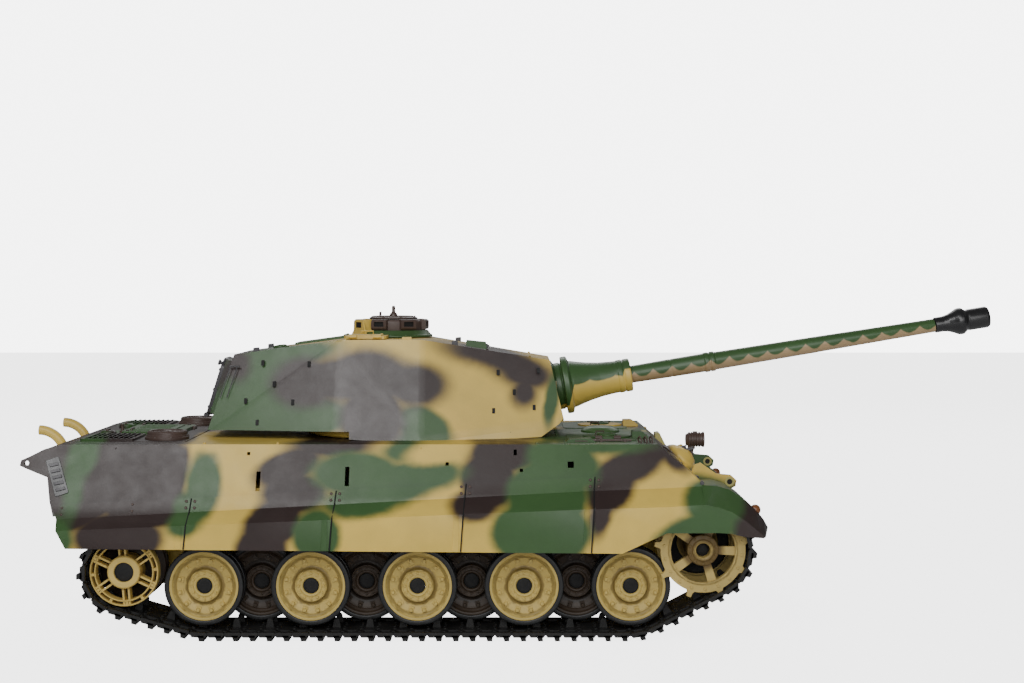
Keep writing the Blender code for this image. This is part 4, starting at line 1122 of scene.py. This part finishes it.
def wheel_disc(side):
    """A dished wheel with flange, bolt pads, hub and bolts; its open face looks away from the hull."""
    axis = (0, side, 0)
    face = [
        (4.9, 0.0), (4.9, 5.0), (5.6, 5.6), (6.5, 5.6), (6.9, 5.0), (9.0, 5.0), (9.3, 5.5), (10.0, 5.5), (10.4, 4.6),
        (10.8, 3.2), (12.4, 2.7), (16.4, 4.0), (17.4, 4.1), (17.8, 4.8), (19.2, 5.6), (19.8, 7.0), (21.2, 7.2),
        (21.8, 6.8),
    ]
    back = [(21.8, 1.9), (19.4, 1.7), (19.4, -1.7), (21.8, -1.9), (21.8, -6.8), (20.4, -7.0), (18.0, -5.2),
            (12.0, -3.0),
            (9.0, -6.6), (4.9, -6.6)]
    shapes = [turned(rounded(face, 0.35, closed=False, pieces=2) + back, (0, 0, 0), axis, 56)]
    for x, z in around(12, 15.8, 15.0):
        along = Vector((x, 0.0, z)).normalized()
        shapes.append(bolt((x, side * 3.9, z), (0.0, side, 0.0), 1.35, 1.8))
        matrix = axes(along, ACROSS.cross(along), ACROSS, Vector((x, 0.0, z)) + ACROSS * side * 3.7)
        shapes.append(moved(box((-2.4, -1.5, -0.5), (1.6, 1.5, 0.45)), matrix))
    for x, z in around(12, 7.9, 0.0):
        shapes.append(bolt((x, side * 4.9, z), (0.0, side, 0.0), 0.9, 1.0))
    shapes.append(turned([(0.2, -2.0), (4.7, -2.0), (4.7, -1.0), (0.2, -0.6)], (0, 0, 0), axis, 24, closed=False))
    return merged(shapes)


def wheel_tyre(side):
    rings = []
    for low, high in ((1.9, 7.7), (-7.7, -1.9)):
        profile = rounded(((21.3, low), (24.5, low), (24.5, high), (21.3, high)), 0.9)
        rings.append(turned(profile, (0, 0, 0), (0, side, 0), 56))
    return merged(rings)


def axle_hole_shade(side):
    """A near-black disc over the axle end, just inside the hub's bore: painted shade of the deep axle hole."""
    profile = rounded([(0.2, 4.4), (4.7, 4.4), (4.7, 5.1), (3.4, 5.4), (0.2, 5.4)], 0.2, closed=False)
    return turned(profile, (0, 0, 0), (0, side, 0), 24, closed=False)


def road_wheels():
    for side, word in SIDES:
        disc = mesh_of(wheel_disc(side), f"wheel_disc_{word}", PAINTS["wheel"])
        inner = mesh_of(wheel_disc(side), f"inner_wheel_disc_{word}", PAINTS["inner_wheel"])
        tyre = mesh_of(wheel_tyre(side), f"wheel_tyre_{word}", PAINTS["tyre"])
        bore_shade = mesh_of(axle_hole_shade(side), f"wheel_bore_shade_{word}", PAINTS["dark"])
        for n in range(1, WHEELS_PER_SIDE + 1):
            centre = JOINT[f"wheel_{word}_{n}_spin"].copy()
            low, high = cad_box(f"road_wheel_{word}_{n}")
            centre.y = (low.y + high.y) / 2
            body = f"wheel_{word}_{n}"
            place(f"wheel_{word}_{n}_disc", disc if n % 2 else inner, body,
                  [f"road_wheel_{word}_{n}"], centre)
            place(f"wheel_{word}_{n}_tyre", tyre, body, (), centre)
            place(f"wheel_{word}_{n}_axle_bore_shade", bore_shade, body, (), centre)


def toothed_ring(side, planes, bolts):
    """A toothed ring with a raised inner lip and its bolts."""
    low, high = planes
    root, tip = 26.1, 29.9
    outline = []
    for k in range(9):
        middle = 213.0 + 40.0 * k
        for offset, radius in ((-5.6, root), (-3.6, root + 1.2), (-2.7, tip), (2.7, tip), (3.6, root + 1.2),
                               (5.6, root)):
            turn = math.radians(middle + offset)
            outline.append((radius * math.cos(turn), radius * math.sin(turn)))
        for j in range(1, 8):
            turn = math.radians(middle + 5.6 + 28.8 * j / 8)
            outline.append((root * math.cos(turn), root * math.sin(turn)))
    ring = carved(prism(outline, side * low, side * high),
                  [rod(20.3, (0, side * (low - 5), 0), (0, side * (high + 5), 0), 64)])
    shapes = [ring]
    lip = rounded([(19.8, low - 0.4), (21.4, low - 0.4), (21.4, high + 0.7), (20.8, high + 1.0), (19.8, high + 1.0)],
                  0.3)
    shapes.append(turned(lip, (0, 0, 0), (0, side, 0), 64))
    if bolts:
        for x, z in around(18, 23.9, 213.0):
            shapes.append(bolt((x, side * high, z), (0, side, 0), 0.95, 0.8))
    return shapes


def sprockets():
    for side, word in SIDES:
        axis = (0, side, 0)
        shapes = toothed_ring(side, (102.4, 105.9), True) + toothed_ring(side, (70.4, 73.9), False)
        for k in range(5):
            matrix = spoke(ACROSS, 142.6 + 72.0 * k)
            web = rounded(((8.4, -2.4), (20.6, -2.8), (20.6, 2.8), (8.4, 2.4)), 0.5)
            y0, y1 = sorted((side * 101.2, side * 104.6))
            shapes.append(moved(prism(web, y0, y1, "Z"), matrix))
            y0, y1 = sorted((side * 71.0, side * 73.4))
            shapes.append(moved(prism(web, y0, y1, "Z"), matrix))
        hub = rounded([
            (4.4, 98.0), (4.4, 106.6), (5.6, 107.2), (6.4, 107.2), (6.8, 106.2), (9.4, 105.8), (9.8, 104.8),
            (9.8, 101.2),
            (9.8, 99.8), (9.7, 98.8), (9.6, 97.6), (9.6, 76.0), (13.0, 74.8), (13.0, 71.2), (5.0, 70.0), (3.5, 68.0),
            (3.5, 58.0), (1.0, 58.0), (1.0, 98.0),
        ], 0.3)
        shapes.append(turned(hub, (0, 0, 0), axis, 48))
        for x, z in around(10, 8.3, 18.0):
            shapes.append(bolt((x, side * 105.8, z), axis, 0.95, 0.9))
        mesh = mesh_of(merged(shapes), f"sprocket_{word}", PAINTS["sprocket"])
        centre = JOINT[f"sprocket_{word}_spin"].copy()
        centre.y = 0.0
        place(f"sprocket_{word}_wheel", mesh, f"sprocket_{word}", [f"drive_sprocket_{word}"], centre)
        # The disc behind the spokes is near-black: painted shade seen between the spokes.
        backing = turned(rounded([(9.0, 70.6), (20.6, 70.6), (20.6, 73.0), (19.0, 74.2), (9.0, 73.2)], 0.3),
                         (0, 0, 0), axis, 48)
        place(f"sprocket_{word}_backing", mesh_of(backing, "sprocket_backing", PAINTS["dark"]), f"sprocket_{word}",
              (), centre)
        # A near-black disc in the hub's bore: painted shade of the shaft hole.
        bore_shade = turned([(0.2, 99.0), (4.3, 99.0), (4.3, 100.6), (2.6, 101.4), (0.2, 101.4)], (0, 0, 0), axis, 24,
                      closed=False)
        place(f"sprocket_{word}_shaft_bore_shade", mesh_of(bore_shade, "shaft_bore_shade", PAINTS["dark"]), f"sprocket_{word}",
              (), centre)


def idlers():
    """Each idler has a rim of two rings with pockets between, on six double-walled spokes, and an inner disc painted
    dark as the shade behind the spokes.
    """
    for side, word in SIDES:
        axis = (0, side, 0)
        shapes = []
        for inner, outer in ((20.2, 21.3), (17.4, 18.4)):
            shapes.append(turned(rounded([(inner, 96.6), (outer, 96.6), (outer, 103.6), (outer - 0.3, 104.0),
                                          (inner + 0.2, 104.0),
                                          (inner, 103.6)], 0.2), (0, 0, 0), axis, 72))
        for k in range(12):
            matrix = spoke(ACROSS, 30.0 * k + 5.0)
            y0, y1 = sorted((side * 97.0, side * 103.4))
            web = ((18.2, -0.8), (20.4, -0.9), (20.4, 0.9), (18.2, 0.8))
            shapes.append(moved(prism(web, y0, y1, "Z"), matrix))
        hub = rounded([
            (6.0, 90.0), (6.0, 104.6), (6.7, 105.0), (9.4, 105.0), (10.2, 104.2), (10.2, 88.0), (9.0, 86.0),
            (6.0, 86.0),
        ], 0.3)
        shapes.append(turned(hub, (0, 0, 0), axis, 56))
        for k in range(6):
            matrix = spoke(ACROSS, 35.0 + 60.0 * k)
            y0, y1 = sorted((side * 96.8, side * 103.3))
            for offset in (-1.75, 1.75):
                wall = ((9.6, offset - 0.6), (20.4, offset - 0.6), (20.4, offset + 0.6), (9.6, offset + 0.6))
                shapes.append(moved(prism(wall, y0, y1, "Z"), matrix))
        mesh = mesh_of(merged(shapes), f"idler_{word}", PAINTS["idler"])
        centre = JOINT[f"idler_{word}_spin"].copy()
        centre.y = 0.0
        place(f"idler_{word}_wheel", mesh, f"idler_{word}", [f"idler_wheel_{word}"], centre)
        # The inner disc takes the dark inner wheel paint: painted shade behind the spokes.
        inside = rounded([
            (1.0, 58.0), (3.5, 58.0), (3.5, 70.4), (12.0, 71.6), (21.3, 71.2), (21.3, 73.6), (18.4, 74.0),
            (18.4, 77.2),
            (21.3, 77.6), (21.3, 78.8), (20.8, 79.4), (8.6, 81.0), (8.6, 87.0), (1.0, 87.0),
        ], 0.3)
        disc = merged([turned(inside, (0, 0, 0), axis, 56),
                       turned([(18.2, 95.6), (20.4, 95.6), (20.4, 97.4), (18.2, 97.4)], (0, 0, 0), axis, 56)])
        place(f"idler_{word}_inner_disc", mesh_of(disc, f"idler_inner_{word}", PAINTS["inner_wheel"]),
              f"idler_{word}", (), centre)
        # A near-black disc in the hub's bore: painted shade of the shaft hole.
        bore_shade = turned([(0.2, 101.0), (5.9, 101.0), (5.9, 103.0), (4.0, 103.5), (0.2, 103.5)], (0, 0, 0), axis, 24,
                      closed=False)
        place(f"idler_{word}_shaft_bore_shade", mesh_of(bore_shade, "idler_bore_shade", PAINTS["dark"]), f"idler_{word}",
              (), centre)


# Turret

# (x, z) of the small slots in each side of the turret
TURRET_SLOTS = (
    (-165.7, 167.4), (-135.1, 166.9), (-157.6, 154.0), (-176.1, 143.0), (-145.0, 142.6), (-167.9, 129.5),
    (-12.6, 161.2), (13.6, 162.2), (-2.1, 148.5), (-15.5, 136.8), (10.8, 138.5), (-5.2, 124.5),
)


def turret_side_y(x, z):
    """Half width of the turret at a point of its side."""
    run = x - TURRET_X
    rise = (z - 119.6) / (182.4 - 119.6)
    lows = ((-122.5, 49.0), (-37.0, 64.0), (18.0, 64.0), (95.0, 46.0), (110.0, 41.0))
    tops = ((-106.0, 33.0), (-35.0, 43.0), (18.0, 42.0), (100.8, 29.5), (110.0, 28.0))

    def between(table):
        for (x0, y0), (x1, y1) in zip(table, table[1:]):
            if run <= x1:
                return y0 + (y1 - y0) * max(0.0, (run - x0) / (x1 - x0))
        return table[-1][1]

    return between(lows) * (1 - rise) + between(tops) * rise


def roof_z(x):
    """Height of the turret's roof along its middle."""
    run = x - TURRET_X
    if run < -35.0:
        return 172.6 + (182.4 - 172.6) * (run + 106.0) / 71.0
    if run < 18.0:
        return TURRET_ROOF_Z
    return 182.4 + (168.8 - 182.4) * (run - 18.0) / 82.8


def turret_shell():
    ball = turned([(0.2, -21.5), *arc((0.0, 0.0), 21.5, -84.0, 84.0, 28), (0.2, 21.5)], GUN_PIVOT, GUN_AXIS, 48,
                  closed=False)
    cutters = [ball]
    for swing in (-12.0, -6.0, 0.0, 5.8):
        turn = math.atan2(GUN_AXIS.z, GUN_AXIS.x) + math.radians(swing)
        aim = Vector((math.cos(turn), 0.0, math.sin(turn)))
        cutters.append(rod(16.7, GUN_PIVOT + 4.0 * aim, GUN_PIVOT + 40.0 * aim, 48))
    shell = eased(carved(cad_shape("turret_shell"), cutters), 50.0, 14.0)
    armour = add("turret_armour", shell, PAINTS["turret"], "turret", ["turret_shell"], bevel=0.6)
    armour.modifiers["edges"].harden_normals = False
    armour.modifiers.new("soft_crease", "WEIGHTED_NORMAL").keep_sharp = True
    # Each slot is a near-black inlay on the side plate: painted shade in place of an opening.
    slots = []
    for side, _ in SIDES:
        for x, z in TURRET_SLOTS:
            y = turret_side_y(x, z)
            lean = turret_side_y(x, z + 1.7) - y
            outline = ((side * (y - lean - 1.0), z - 1.7), (side * (y - lean + 0.35), z - 1.7),
                       (side * (y + lean + 0.35), z + 1.7), (side * (y + lean - 1.0), z + 1.7))
            slots.append(prism(outline, x - 0.95, x + 0.95, "X"))
    add("turret_slots", merged(slots), PAINTS["dark"], "turret")
    ring = turned(rounded([(57.0, 119.8), (61.6, 119.8), (62.2, 120.6), (62.2, 124.2), (57.0, 124.2)], 0.3),
                  (TURRET_X, 0, 0), UP, 96)
    add("turret_base_ring", ring, PAINTS["sand"], "turret")


def turret_fittings():
    """Lifting lugs, rear roof hatch, periscope hood, roof bolts and the raised bars by the rear edge."""
    painted, dark, green = [], [], []
    rear_slope = (-0.137, 0.0, 1.0)
    for x in (-171.0, -41.0):
        for side, _ in SIDES:
            y = side * (turret_side_y(x, roof_z(x)) - 4.0)
            lug = rounded(((x - 2.0, roof_z(x) - 0.8), (x - 2.0, roof_z(x) + 2.4), (x + 2.0, roof_z(x) + 2.8),
                           (x + 2.0, roof_z(x) - 0.8)), 0.7)
            dark.append(prism(lug, y - 1.1, y + 1.1))
    low_x, high_x = -150.0, -115.5
    lid = rounded([(low_x, roof_z(low_x) - 0.6), (low_x, roof_z(low_x) + 1.5), (high_x, roof_z(high_x) + 1.5),
                   (high_x, roof_z(high_x) - 0.6)], 0.3)
    green.append(prism(lid, 0.0, 26.0))
    for y in (5.0, 21.0):
        green.append(rod(1.1, (high_x - 1.0, y - 3.0, roof_z(high_x) + 1.4),
                         (high_x - 1.0, y + 3.0, roof_z(high_x) + 1.4), 12))
    green.append(knob([(0.3, -1.0), (4.6, -1.0), (4.6, 1.2), (3.6, 1.8), (0.3, 2.0)], 0.4,
                      (-158.0, -14.0, roof_z(-158.0)), rear_slope, 24))
    hood = rounded(((-34.0, roof_z(-34.0) - 1.0), (-34.0, roof_z(-34.0) + 3.6), (-21.0, roof_z(-21.0) + 4.4),
                    (-20.0, roof_z(-20.0) - 1.0)), 0.6)
    green.append(prism(hood, -21.0, -9.0))
    dark.append(box((-21.4, -19.4, roof_z(-20.0) + 0.6), (-19.5, -10.6, roof_z(-20.0) + 3.2)))
    edge_y = turret_side_y(-72.0, roof_z(-72.0))
    bracket = rounded(((-75.0, TURRET_ROOF_Z - 0.6), (-75.0, TURRET_ROOF_Z + 1.8), (-69.0, TURRET_ROOF_Z + 1.8),
                       (-69.0, TURRET_ROOF_Z - 0.6)), 0.5)
    painted.append(prism(bracket, -edge_y + 0.8, -edge_y + 5.0))
    for side, _ in SIDES:
        for x in (-150.0, -112.0, -70.0, -20.0, 8.0):
            y = turret_side_y(x, roof_z(x)) - 3.4
            normal = (0.164, 0.0, 1.0) if x > -60.0 else (-0.137 if x < -114.6 else 0.0, 0.0, 1.0)
            painted.append(bolt((x, side * y, roof_z(x)), normal, 0.9, 0.8))
        low, high = Vector((-188.0, 0.0, 165.0)), Vector((-181.0, 0.0, 165.0))
        for point in (low, high):
            point.y = side * (turret_side_y(point.x, point.z) + 0.15)
        dark.append(rod(0.6, low, high, 8))
        for x in (-187.0, -182.5):
            top = Vector((x, side * (turret_side_y(x, 165.0) + 0.1), 165.0))
            foot = Vector((x - 6.2, side * (turret_side_y(x - 6.2, 145.0) + 0.1), 145.0))
            dark.append(rod(0.35, foot, top, 6))
    add("turret_roof_fittings", merged(painted), PAINTS["turret"], "turret")
    add("turret_vents", merged(green), PAINTS["green"], "turret", bevel=0.2)
    add("turret_blocks", merged(dark), PAINTS["grey"], "turret", bevel=0.15)


def gun():
    """Mantlet with its stepped collar, banded barrel and swelled muzzle brake."""
    ball = [(math.sqrt(20.9 ** 2 - s * s), s) for s in (5.0, 6.5, 8.0, 9.5, 11.0)]
    mantlet = [(6.4, -10.0), (9.0, -10.0), (9.0, 5.0), *ball] + rounded([
        (15.4, 12.2), (15.8, 12.5), (15.8, 15.8), (15.2, 16.2), (15.2, 16.9), (19.0, 17.2), (19.3, 17.8),
        (19.3, 20.9),
        (18.6, 21.5), (15.9, 22.4), (15.6, 24.0), (14.2, 29.0), (13.0, 34.0), (11.6, 42.0), (10.9, 50.0),
        (10.7, 54.0),
        (11.1, 54.5), (11.1, 57.4), (10.6, 57.8), (10.6, 58.5), (11.1, 58.9), (11.1, 62.4), (10.4, 63.0), (6.4, 63.0),
    ], 0.4)
    shapes = [turned(mantlet, GUN_PIVOT, GUN_AXIS, 72)]
    add("mantlet", merged(shapes), PAINTS["mantlet"], "gun", ["gun_mantlet"])
    tube_profile = rounded([
        (1.8, -8.0), (4.2, -8.0), (5.6, 46.0), (6.1, 90.0), (5.9, 90.3), (5.9, 91.0), (6.1, 91.3), (6.2, 113.0),
        (6.7, 113.4),
        (6.7, 116.0), (6.3, 116.3), (6.3, 117.2), (6.7, 117.5), (6.7, 119.8), (6.0, 120.4), (5.4, 190.0),
        (4.5, 270.2), (1.8, 270.2),
    ], 0.25)
    add("barrel_tube", turned(tube_profile, GUN_PIVOT, GUN_AXIS, 48), PAINTS["barrel"], "barrel",
        ["gun_barrel"])
    foot = 270.6
    brake = rounded([(r, foot + step) for step, r in (
        (0.0, 3.2), (0.0, 5.2), (5.5, 5.2), (9.0, 5.9), (12.5, 7.4), (15.0, 8.7), (16.5, 9.0), (18.5, 9.0),
        (19.8, 8.0),
        (20.8, 7.1), (21.5, 6.9), (22.2, 6.9), (22.6, 7.2), (34.8, 7.2), (36.3, 6.4), (36.3, 3.2),
    )], 0.3)
    add("brake", turned(brake, GUN_PIVOT, GUN_AXIS, 48), PAINTS["black"], "barrel", ["muzzle_brake"])


def cupola():
    """Commander's cupola: a stepped ring with seven periscopes, a raised sight block and the swivelling hatch."""
    low, high = cad_box("cupola")
    middle = (low + high) / 2
    base_z, top_z = low.z, high.z
    here = Vector((middle.x, middle.y, 0.0))
    flange = rounded([(15.2, base_z), (26.6, base_z), (26.6, base_z + 1.2), (25.4, base_z + 1.8),
                      (23.4, base_z + 4.6),
                      (15.2, base_z + 4.6)], 0.4)
    wall = rounded([(15.2, base_z + 4.0), (21.4, base_z + 4.0), (21.4, top_z - 1.2), (20.4, top_z), (15.2, top_z)],
                   0.4)
    green = [turned(flange, here, UP, 64)]
    for x, y in around(16, 25.6):
        green.append(bolt(here + Vector((x, y, base_z + 1.2)), UP, 0.7, 0.6))
    brown, sand, dark = [turned(wall, here, UP, 64)], [], []
    for k in range(7):
        matrix = spoke(UP, -60.0 + 360.0 * k / 7, here)
        hood = rounded(((17.0, base_z + 5.0), (22.8, base_z + 5.0), (23.6, base_z + 6.2), (23.6, top_z - 1.0),
                        (22.2, top_z + 0.2), (17.0, top_z + 0.2)), 0.5)
        piece = moved(prism(hood, -5.6, 5.6), matrix)
        window = moved(box((22.4, -3.6, base_z + 7.2), (26.0, 3.6, top_z - 1.4)), matrix)
        piece = carved(piece, [window])
        brown.append(piece)
        # A near-black pane at the back of each window: painted shade inside the periscope.
        dark.append(moved(box((21.6, -3.7, base_z + 7.0), (22.55, 3.7, top_z - 1.2)), matrix))
    matrix = spoke(UP, 208.0, here)
    outline = rounded(((19.0, base_z + 0.8), (28.2, base_z + 0.8), (26.2, base_z + 4.6), (26.0, top_z - 1.0),
                       (24.6, top_z + 0.2),
                       (19.0, top_z + 0.2)), 0.5)
    opening = moved(box((25.4, -5.0, base_z + 6.2), (29.0, 5.0, top_z - 1.8)), matrix)
    sand.append(carved(moved(prism(outline, -8.0, 8.0), matrix), [opening]))
    # A near-black pane behind the sight block's opening: painted shade inside it.
    dark.append(moved(box((24.6, -5.1, base_z + 6.0), (25.6, 5.1, top_z - 1.6)), matrix))
    sand.append(rod(0.6, matrix @ Vector((25.6, 8.0, top_z - 2.0)), matrix @ Vector((26.6, 15.0, base_z + 1.2)), 8))
    add("cupola_flange", merged(green), PAINTS["green"], "turret", ["cupola"])
    add("cupola_ring", merged(brown), PAINTS["brown"], "turret", bevel=0.15)
    add("cupola_sight_block", merged(sand), PAINTS["sand"], "turret", bevel=0.15)
    add("cupola_window_shade", merged(dark), PAINTS["dark"], "turret")
    low, high = cad_box("cupola_hatch")
    lid = [knob([(0.3, low.z), (16.4, low.z), (16.4, low.z + 0.8), (14.4, low.z + 1.5), (6.0, low.z + 1.7),
                 (0.3, low.z + 1.7)], 0.4, here, UP, 56)]
    lid.append(turned(rounded([(12.0, low.z + 1.2), (13.2, low.z + 1.2), (13.2, low.z + 2.0), (12.0, low.z + 2.0)],
                              0.2), here, UP, 56))
    lid.append(knob([(0.2, low.z + 1.0), (3.0, low.z + 1.0), (2.4, low.z + 3.4), (1.2, low.z + 4.6),
                     (1.2, high.z - 1.2), (0.9, high.z), (0.2, high.z)], 0.3, here, UP, 20))
    lid.append(tube([here + Vector((-9.0, -4.0, low.z + 2.2)), here + Vector((-9.0, -4.0, low.z + 4.2)),
                     here + Vector((-9.0, 4.0, low.z + 4.2)), here + Vector((-9.0, 4.0, low.z + 2.2))], 0.55, 8))
    for x, y in around(8, 15.2, 22.5):
        lid.append(bolt(here + Vector((x, y, low.z + 1.2)), UP, 0.7, 0.7))
    add("cupola_lid", merged(lid), PAINTS["brown"], "cupola_hatch", ["cupola_hatch"])


def loader_hatch():
    low, high = cad_box("loader_hatch")
    hinge = JOINT["loader_hatch_hinge"]
    plate = rounded(((low.x, hinge.y), (high.x, hinge.y), (high.x, high.y), (low.x, high.y)), 3.5)
    shapes = [prism(plate, low.z, low.z + 2.0, "Z")]
    inner = rounded(((low.x + 3.0, hinge.y + 3.0), (high.x - 3.0, hinge.y + 3.0), (high.x - 3.0, high.y - 3.0),
                     (low.x + 3.0, high.y - 3.0)), 2.5)
    shapes.append(prism(inner, low.z + 1.6, low.z + 2.6, "Z"))
    middle = (low.x + high.x) / 2
    for x in (middle - 8.0, middle + 8.0):
        shapes.append(rod(1.5, (x - 2.6, hinge.y, hinge.z), (x + 2.6, hinge.y, hinge.z), 16))
        shapes.append(box((x - 1.8, hinge.y, low.z + 1.2), (x + 1.8, hinge.y + 7.0, low.z + 3.0)))
    y = high.y - 6.0
    shapes.append(tube([(middle - 4.0, y, low.z + 2.2), (middle - 4.0, y, low.z + 4.6),
                        (middle + 4.0, y, low.z + 4.6),
                        (middle + 4.0, y, low.z + 2.2)], 0.55, 8))
    for x in (low.x + 4.5, high.x - 4.5):
        for yy in (hinge.y + 5.0, high.y - 4.5):
            shapes.append(rivet((x, yy, low.z + 2.6), UP, 0.9))
    add("loader_lid", merged(shapes), PAINTS["turret"], "loader_hatch", ["loader_hatch"], bevel=0.15)


def rear_hatch():
    """The escape door in the turret's rear, with its frame, hinges, latch and handle."""
    foot = Vector((TURRET_X - 122.5, 0.0, 119.6))
    along = (Vector((TURRET_X - 106.0, 0.0, 172.6)) - foot).normalized()
    away = Vector((-along.z, 0.0, along.x))
    matrix = axes(ACROSS, along, away, foot)
    start, length, thick = 9.5, 40.0, 3.2
    clear = (JOINT["rear_hatch_hinge"] - foot).dot(away) - thick
    end = start + length
    door = rounded(((-17.0, start + 2.0), (17.0, start + 2.0), (17.0, end - 5.0), (11.0, end), (-11.0, end),
                    (-17.0, end - 5.0)), 2.0)
    shapes = [prism(door, clear, clear + thick - 0.5, "Z")]
    ring = rounded(((-12.0, start + 7.0), (12.0, start + 7.0), (12.0, end - 8.0), (-12.0, end - 8.0)), 2.0)
    shapes.append(prism(ring, clear + thick - 0.8, clear + thick, "Z"))
    for x in (-9.0, 9.0):
        shapes.append(rod(1.6, (x - 3.5, start, clear + thick), (x + 3.5, start, clear + thick), 16))
        shapes.append(box((x - 2.6, start, clear + thick - 0.9), (x + 2.6, start + 10.0, clear + thick + 0.3)))
    for x, y in around(6, 4.6):
        shapes.append(bolt((x, start + 21.0 + y, clear + thick), UP, 0.8, 0.7))
    shapes.append(knob([(0.2, 0.0), (3.2, 0.0), (3.2, 1.0), (1.6, 1.8), (0.2, 1.8)], 0.2,
                       (0.0, start + 21.0, clear + thick), UP, 24))
    for x in (-14.2, 14.2):
        for y in (start + 6.0, start + 18.0, end - 8.0):
            shapes.append(bolt((x, y, clear + thick - 0.5), UP, 1.0, 0.8))
    pin = end - 5.0
    shapes.append(rod(1.2, (0.0, pin, clear + thick - 0.6), (0.0, pin, clear + thick + 4.2), 14))
    shapes.append(knob([(0.2, 3.2), (1.9, 3.2), (1.9, 4.6), (0.2, 4.6)], 0.3, (0.0, pin, clear + thick - 0.4), UP,
                       16))
    door_shape = moved(merged(shapes), matrix)
    add("rear_door", door_shape, PAINTS["grey"], "rear_hatch", ["rear_hatch"], bevel=0.15)
    surround = []
    for x in (-18.6, 18.6):
        surround.append(box((x - 1.3, start + 3.0, -0.4), (x + 1.3, end, clear - 0.2)))
        for y in (start + 6.0, (start + end) / 2, end - 3.0):
            surround.append(bolt((x, y, clear - 0.3), UP, 0.9, 0.8))
    surround.append(box((-16.0, start - 5.4, -0.4), (16.0, start - 3.4, 1.6)))
    add("rear_door_surround", moved(merged(surround), matrix), PAINTS["turret"], "turret", bevel=0.15)


def hidden_parts():
    """Nodes whose CAD shape is right get their finish here."""
    for node, paint in (("twin_gearbox", "black"), ("battery_pack", "battery"), ("control_board", "board")):
        dress(node, paint)
    for _, word in SIDES:
        for n in range(1, WHEELS_PER_SIDE + 1):
            dress(f"swing_arm_{word}_{n}", "steel")


def dress(node, paint):
    obj = frame["nodes"][node]
    obj.data.materials.clear()
    obj.data.materials.append(PAINTS[paint])
    modifier = obj.modifiers.new("edges", "BEVEL")
    modifier.width = 0.3 * MM
    modifier.segments = 2
    modifier.limit_method = "ANGLE"
    modifier.angle_limit = math.radians(35.0)


# Stage


def floor():
    mesh = bpy.data.meshes.new("floor")
    shape = bmesh.new()
    bmesh.ops.create_grid(shape, x_segments=1, y_segments=1, size=4.0)
    shape.to_mesh(mesh)
    shape.free()
    paint = Paint("pale_floor", roughness=0.75, specular=0.2)
    tone = paint.mix(paint.noise(0.004, 2.0), (0.90, 0.90, 0.91), (0.86, 0.86, 0.87))
    seen = paint.node("ShaderNodeLightPath").outputs["Is Camera Ray"]
    paint.feed(paint.shader.inputs["Emission Color"], (1.0, 1.0, 1.0, 1.0))
    paint.feed(paint.shader.inputs["Emission Strength"], paint.math("MULTIPLY", seen, 3.5))
    mesh.materials.append(paint.finish(tone))
    obj = bpy.data.objects.new("floor", mesh)
    obj.location = (0.0, 0.0, -0.0002)
    bpy.context.scene.collection.objects.link(obj)


def softbox(name, place_at, aim, size, power, gloss=1.0):
    light = bpy.data.lights.new(name, "AREA")
    light.shape = "RECTANGLE"
    light.size, light.size_y = size
    light.energy = power
    light.specular_factor = gloss
    obj = bpy.data.objects.new(name, light)
    obj.location = place_at
    direction = Vector(aim) - Vector(place_at)
    obj.rotation_euler = direction.to_track_quat("-Z", "Y").to_euler()
    bpy.context.scene.collection.objects.link(obj)


def studio():
    """A pale backdrop with softboxes in front and above, and little light from the sides."""
    world = bpy.data.worlds.new("studio")
    bpy.context.scene.world = world
    world.use_nodes = True
    tree = world.node_tree
    background = tree.nodes["Background"]
    background.inputs["Color"].default_value = (1.0, 1.0, 1.0, 1.0)
    seen = tree.nodes.new("ShaderNodeLightPath").outputs["Is Camera Ray"]
    strength = tree.nodes.new("ShaderNodeMapRange")
    tree.links.new(seen, strength.inputs["Value"])
    strength.inputs["To Min"].default_value = 0.16
    strength.inputs["To Max"].default_value = 6.0
    tree.links.new(strength.outputs["Result"], background.inputs["Strength"])
    softbox("rear_sheen", (-0.58, -1.0, 1.15), (-0.2, -0.08, 0.1), (0.45, 0.25), 3.4)
    softbox("turret_sheen", (-0.45, -1.45, 1.1), (-0.05, -0.03, 0.15), (1.0, 0.3), 5.4)
    softbox("front_fill", (0.1, -1.6, 0.6), (0.0, 0.0, 0.1), (1.2, 0.8), 10.5, gloss=0.3)
    softbox("back_rim", (0.1, 1.3, 1.1), (0.0, 0.0, 0.1), (1.6, 0.6), 8.0)


def camera():
    data = bpy.data.cameras.new("camera")
    data.sensor_width = 36.0
    data.lens = 58.5
    data.clip_start, data.clip_end = 0.05, 50.0
    obj = bpy.data.objects.new("camera", data)
    obj.location = Vector((-3.6, -1122.0, 220.8)) * MM
    obj.rotation_euler = (math.radians(90.0 - 2.09), 0.0, 0.0)
    bpy.context.scene.collection.objects.link(obj)
    bpy.context.scene.camera = obj


camera()
studio()
floor()
upper_hull()
rear_corner_panels()
hull_bolts()
front_roof()
glacis_fittings()
side_skirts()
engine_deck()
rear_plate()
lower_hull()
headlight()
tracks()
road_wheels()
sprockets()
idlers()
turret_shell()
turret_fittings()
gun()
cupola()
loader_hatch()
rear_hatch()
hidden_parts()
bpy.context.view_layer.update()
